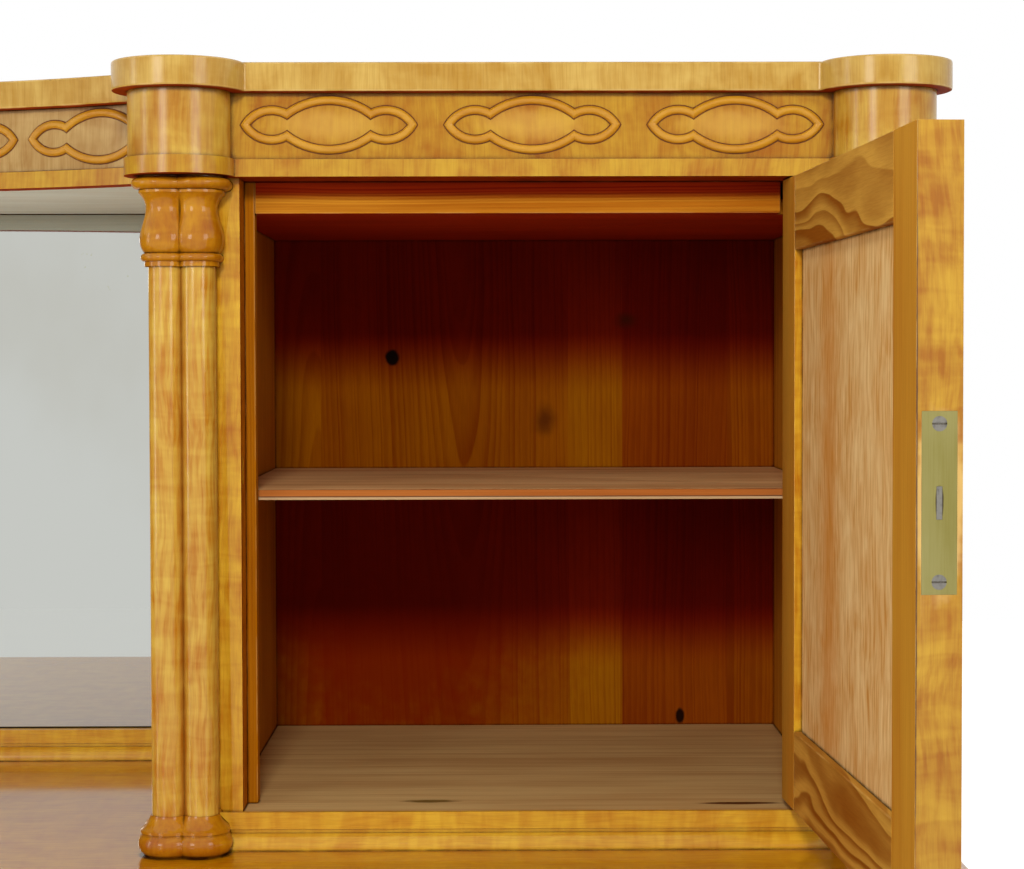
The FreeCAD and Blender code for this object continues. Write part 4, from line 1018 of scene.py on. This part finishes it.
class SIDEBOARD_OT_stage(bpy.types.Operator):
    """Sets the floor, the light and the camera"""
    bl_idname = "sideboard.stage"
    bl_label = "Stage"

    def execute(self, context):
        s = context.scene.sideboard_stage
        floor = bmesh.new()
        bmesh.ops.create_grid(floor, x_segments=1, y_segments=1, size=9)
        mesh = settled(floor, "floor")
        ground = bpy.data.objects.new("floor", mesh)
        context.scene.collection.objects.link(ground)
        t = blank("Pale floor")
        paths = t.add("LightPath").outputs
        seen = t.math("MULTIPLY_ADD", paths["Is Glossy Ray"], FLOOR_REFLECTED, t.math(
            "MULTIPLY", paths["Is Camera Ray"], FLOOR_SHOWN))
        place = t.add("TexCoord").outputs["Object"]
        far = t.spread(t.length(place), GLOW_FROM, GLOW_FULL)
        shade(t, {"Base Color": t.mix(t.noise(place, (3, 3, 3), 3), (0.84, 0.84, 0.83), (0.87, 0.87, 0.86)),
                  "Roughness": 0.8, "Emission Color": (1, 1, 1),
                  "Emission Strength": t.math("MULTIPLY", seen, far)})
        mesh.materials.append(bpy.data.materials["Pale floor"])

        world = bpy.data.worlds.new("White room")
        context.scene.world = world
        world.use_nodes = True
        world.node_tree.nodes.clear()
        w = Tree(world.node_tree)
        path = w.add("LightPath").outputs
        seen = w.math("ADD", w.math("ADD", path["Is Camera Ray"], path["Is Glossy Ray"]),
                      path["Is Transmission Ray"], clamp=True)
        strength = w.add("MapRange", {"Value": seen, "To Min": s.sky, "To Max": 1.0}).outputs[0]
        sky = w.add("Background", {"Color": (1, 1, 1), "Strength": strength})
        w.put(w.add("OutputWorld").inputs["Surface"], sky.outputs[0])

        lamp("lamp_over_camera", (0.45, -1.95, 1.93), (0.6, 0, 1.15), (0.28, 0.26), s.key, glossy=False)
        lamp("lamp_front_left", (-1.02, -2.62, 1.8), (0.5, 0, 1.15), (0.8, 0.8), 1.6 * s.front)
        lamp("lamp_front_right", (1.88, -1.62, 1.65), (0.5, 0, 1.15), (0.8, 0.8), s.front)
        lamp("lamp_left", (-2.1, -0.75, 1.5), (0.4, 0, 1.2), (0.4, 1.2), s.side)
        lamp("lamp_under_soffit", (0, 0.05, 0.93), (0, 0.05, 1.36), (0.5, 0.2), s.niche, glossy=False)
        for hand in (-1, 1):
            lamp("lamp_behind", (hand * 2.2, 2.4, 2.1), (0, 0.3, 0.9), (1.2, 1.4), s.back, glossy=False)

        data = bpy.data.cameras.new("camera")
        data.lens, data.sensor_width = s.lens, 36
        data.clip_start, data.clip_end = 0.05, 60
        camera = bpy.data.objects.new("camera", data)
        context.scene.collection.objects.link(camera)
        camera.location = CAMERA_PLACE
        pan, tilt, roll = CAMERA_TURNS
        turn = (Matrix.Rotation(pan, 3, "Z") @ Matrix.Rotation(radians(90) + tilt, 3, "X")
                @ Matrix.Rotation(roll, 3, "Z"))
        camera.rotation_euler = turn.to_euler()
        context.scene.camera = camera
        context.scene.view_settings.view_transform = "Standard"
        return {"FINISHED"}


PIECE_OPERATORS = (
    SIDEBOARD_OT_finishes, SIDEBOARD_OT_lower_cabinet, SIDEBOARD_OT_cupboards,
    SIDEBOARD_OT_entablature, SIDEBOARD_OT_columns, SIDEBOARD_OT_cartouches, SIDEBOARD_OT_doors,
    SIDEBOARD_OT_locks, SIDEBOARD_OT_mirror, SIDEBOARD_OT_stage)


class SIDEBOARD_PT_panel(bpy.types.Panel):
    """Lists the operators in the order in which they run"""
    bl_label = "Sideboard"
    bl_idname = "SIDEBOARD_PT_panel"
    bl_space_type = "VIEW_3D"
    bl_region_type = "UI"
    bl_category = "Sideboard"

    def draw(self, context):
        for operator in PIECE_OPERATORS:
            self.layout.operator(operator.bl_idname)


SETTINGS = (("sideboard_colours", SideboardColours), ("sideboard_sizes", SideboardSizes),
            ("sideboard_stage", SideboardStage))
CLASSES = tuple(group for _, group in SETTINGS) + PIECE_OPERATORS + (SIDEBOARD_PT_panel,)


def register():
    for cls in CLASSES:
        bpy.utils.register_class(cls)
    for name, group in SETTINGS:
        setattr(bpy.types.Scene, name, PointerProperty(type=group))


def unregister():
    for name, _ in SETTINGS:
        delattr(bpy.types.Scene, name)
    for cls in reversed(CLASSES):
        bpy.utils.unregister_class(cls)


def main():
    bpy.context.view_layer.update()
    register()
    for operator in PIECE_OPERATORS:
        getattr(bpy.ops.sideboard, operator.bl_idname.split(".")[1])()


if __name__ == "__main__":
    main()
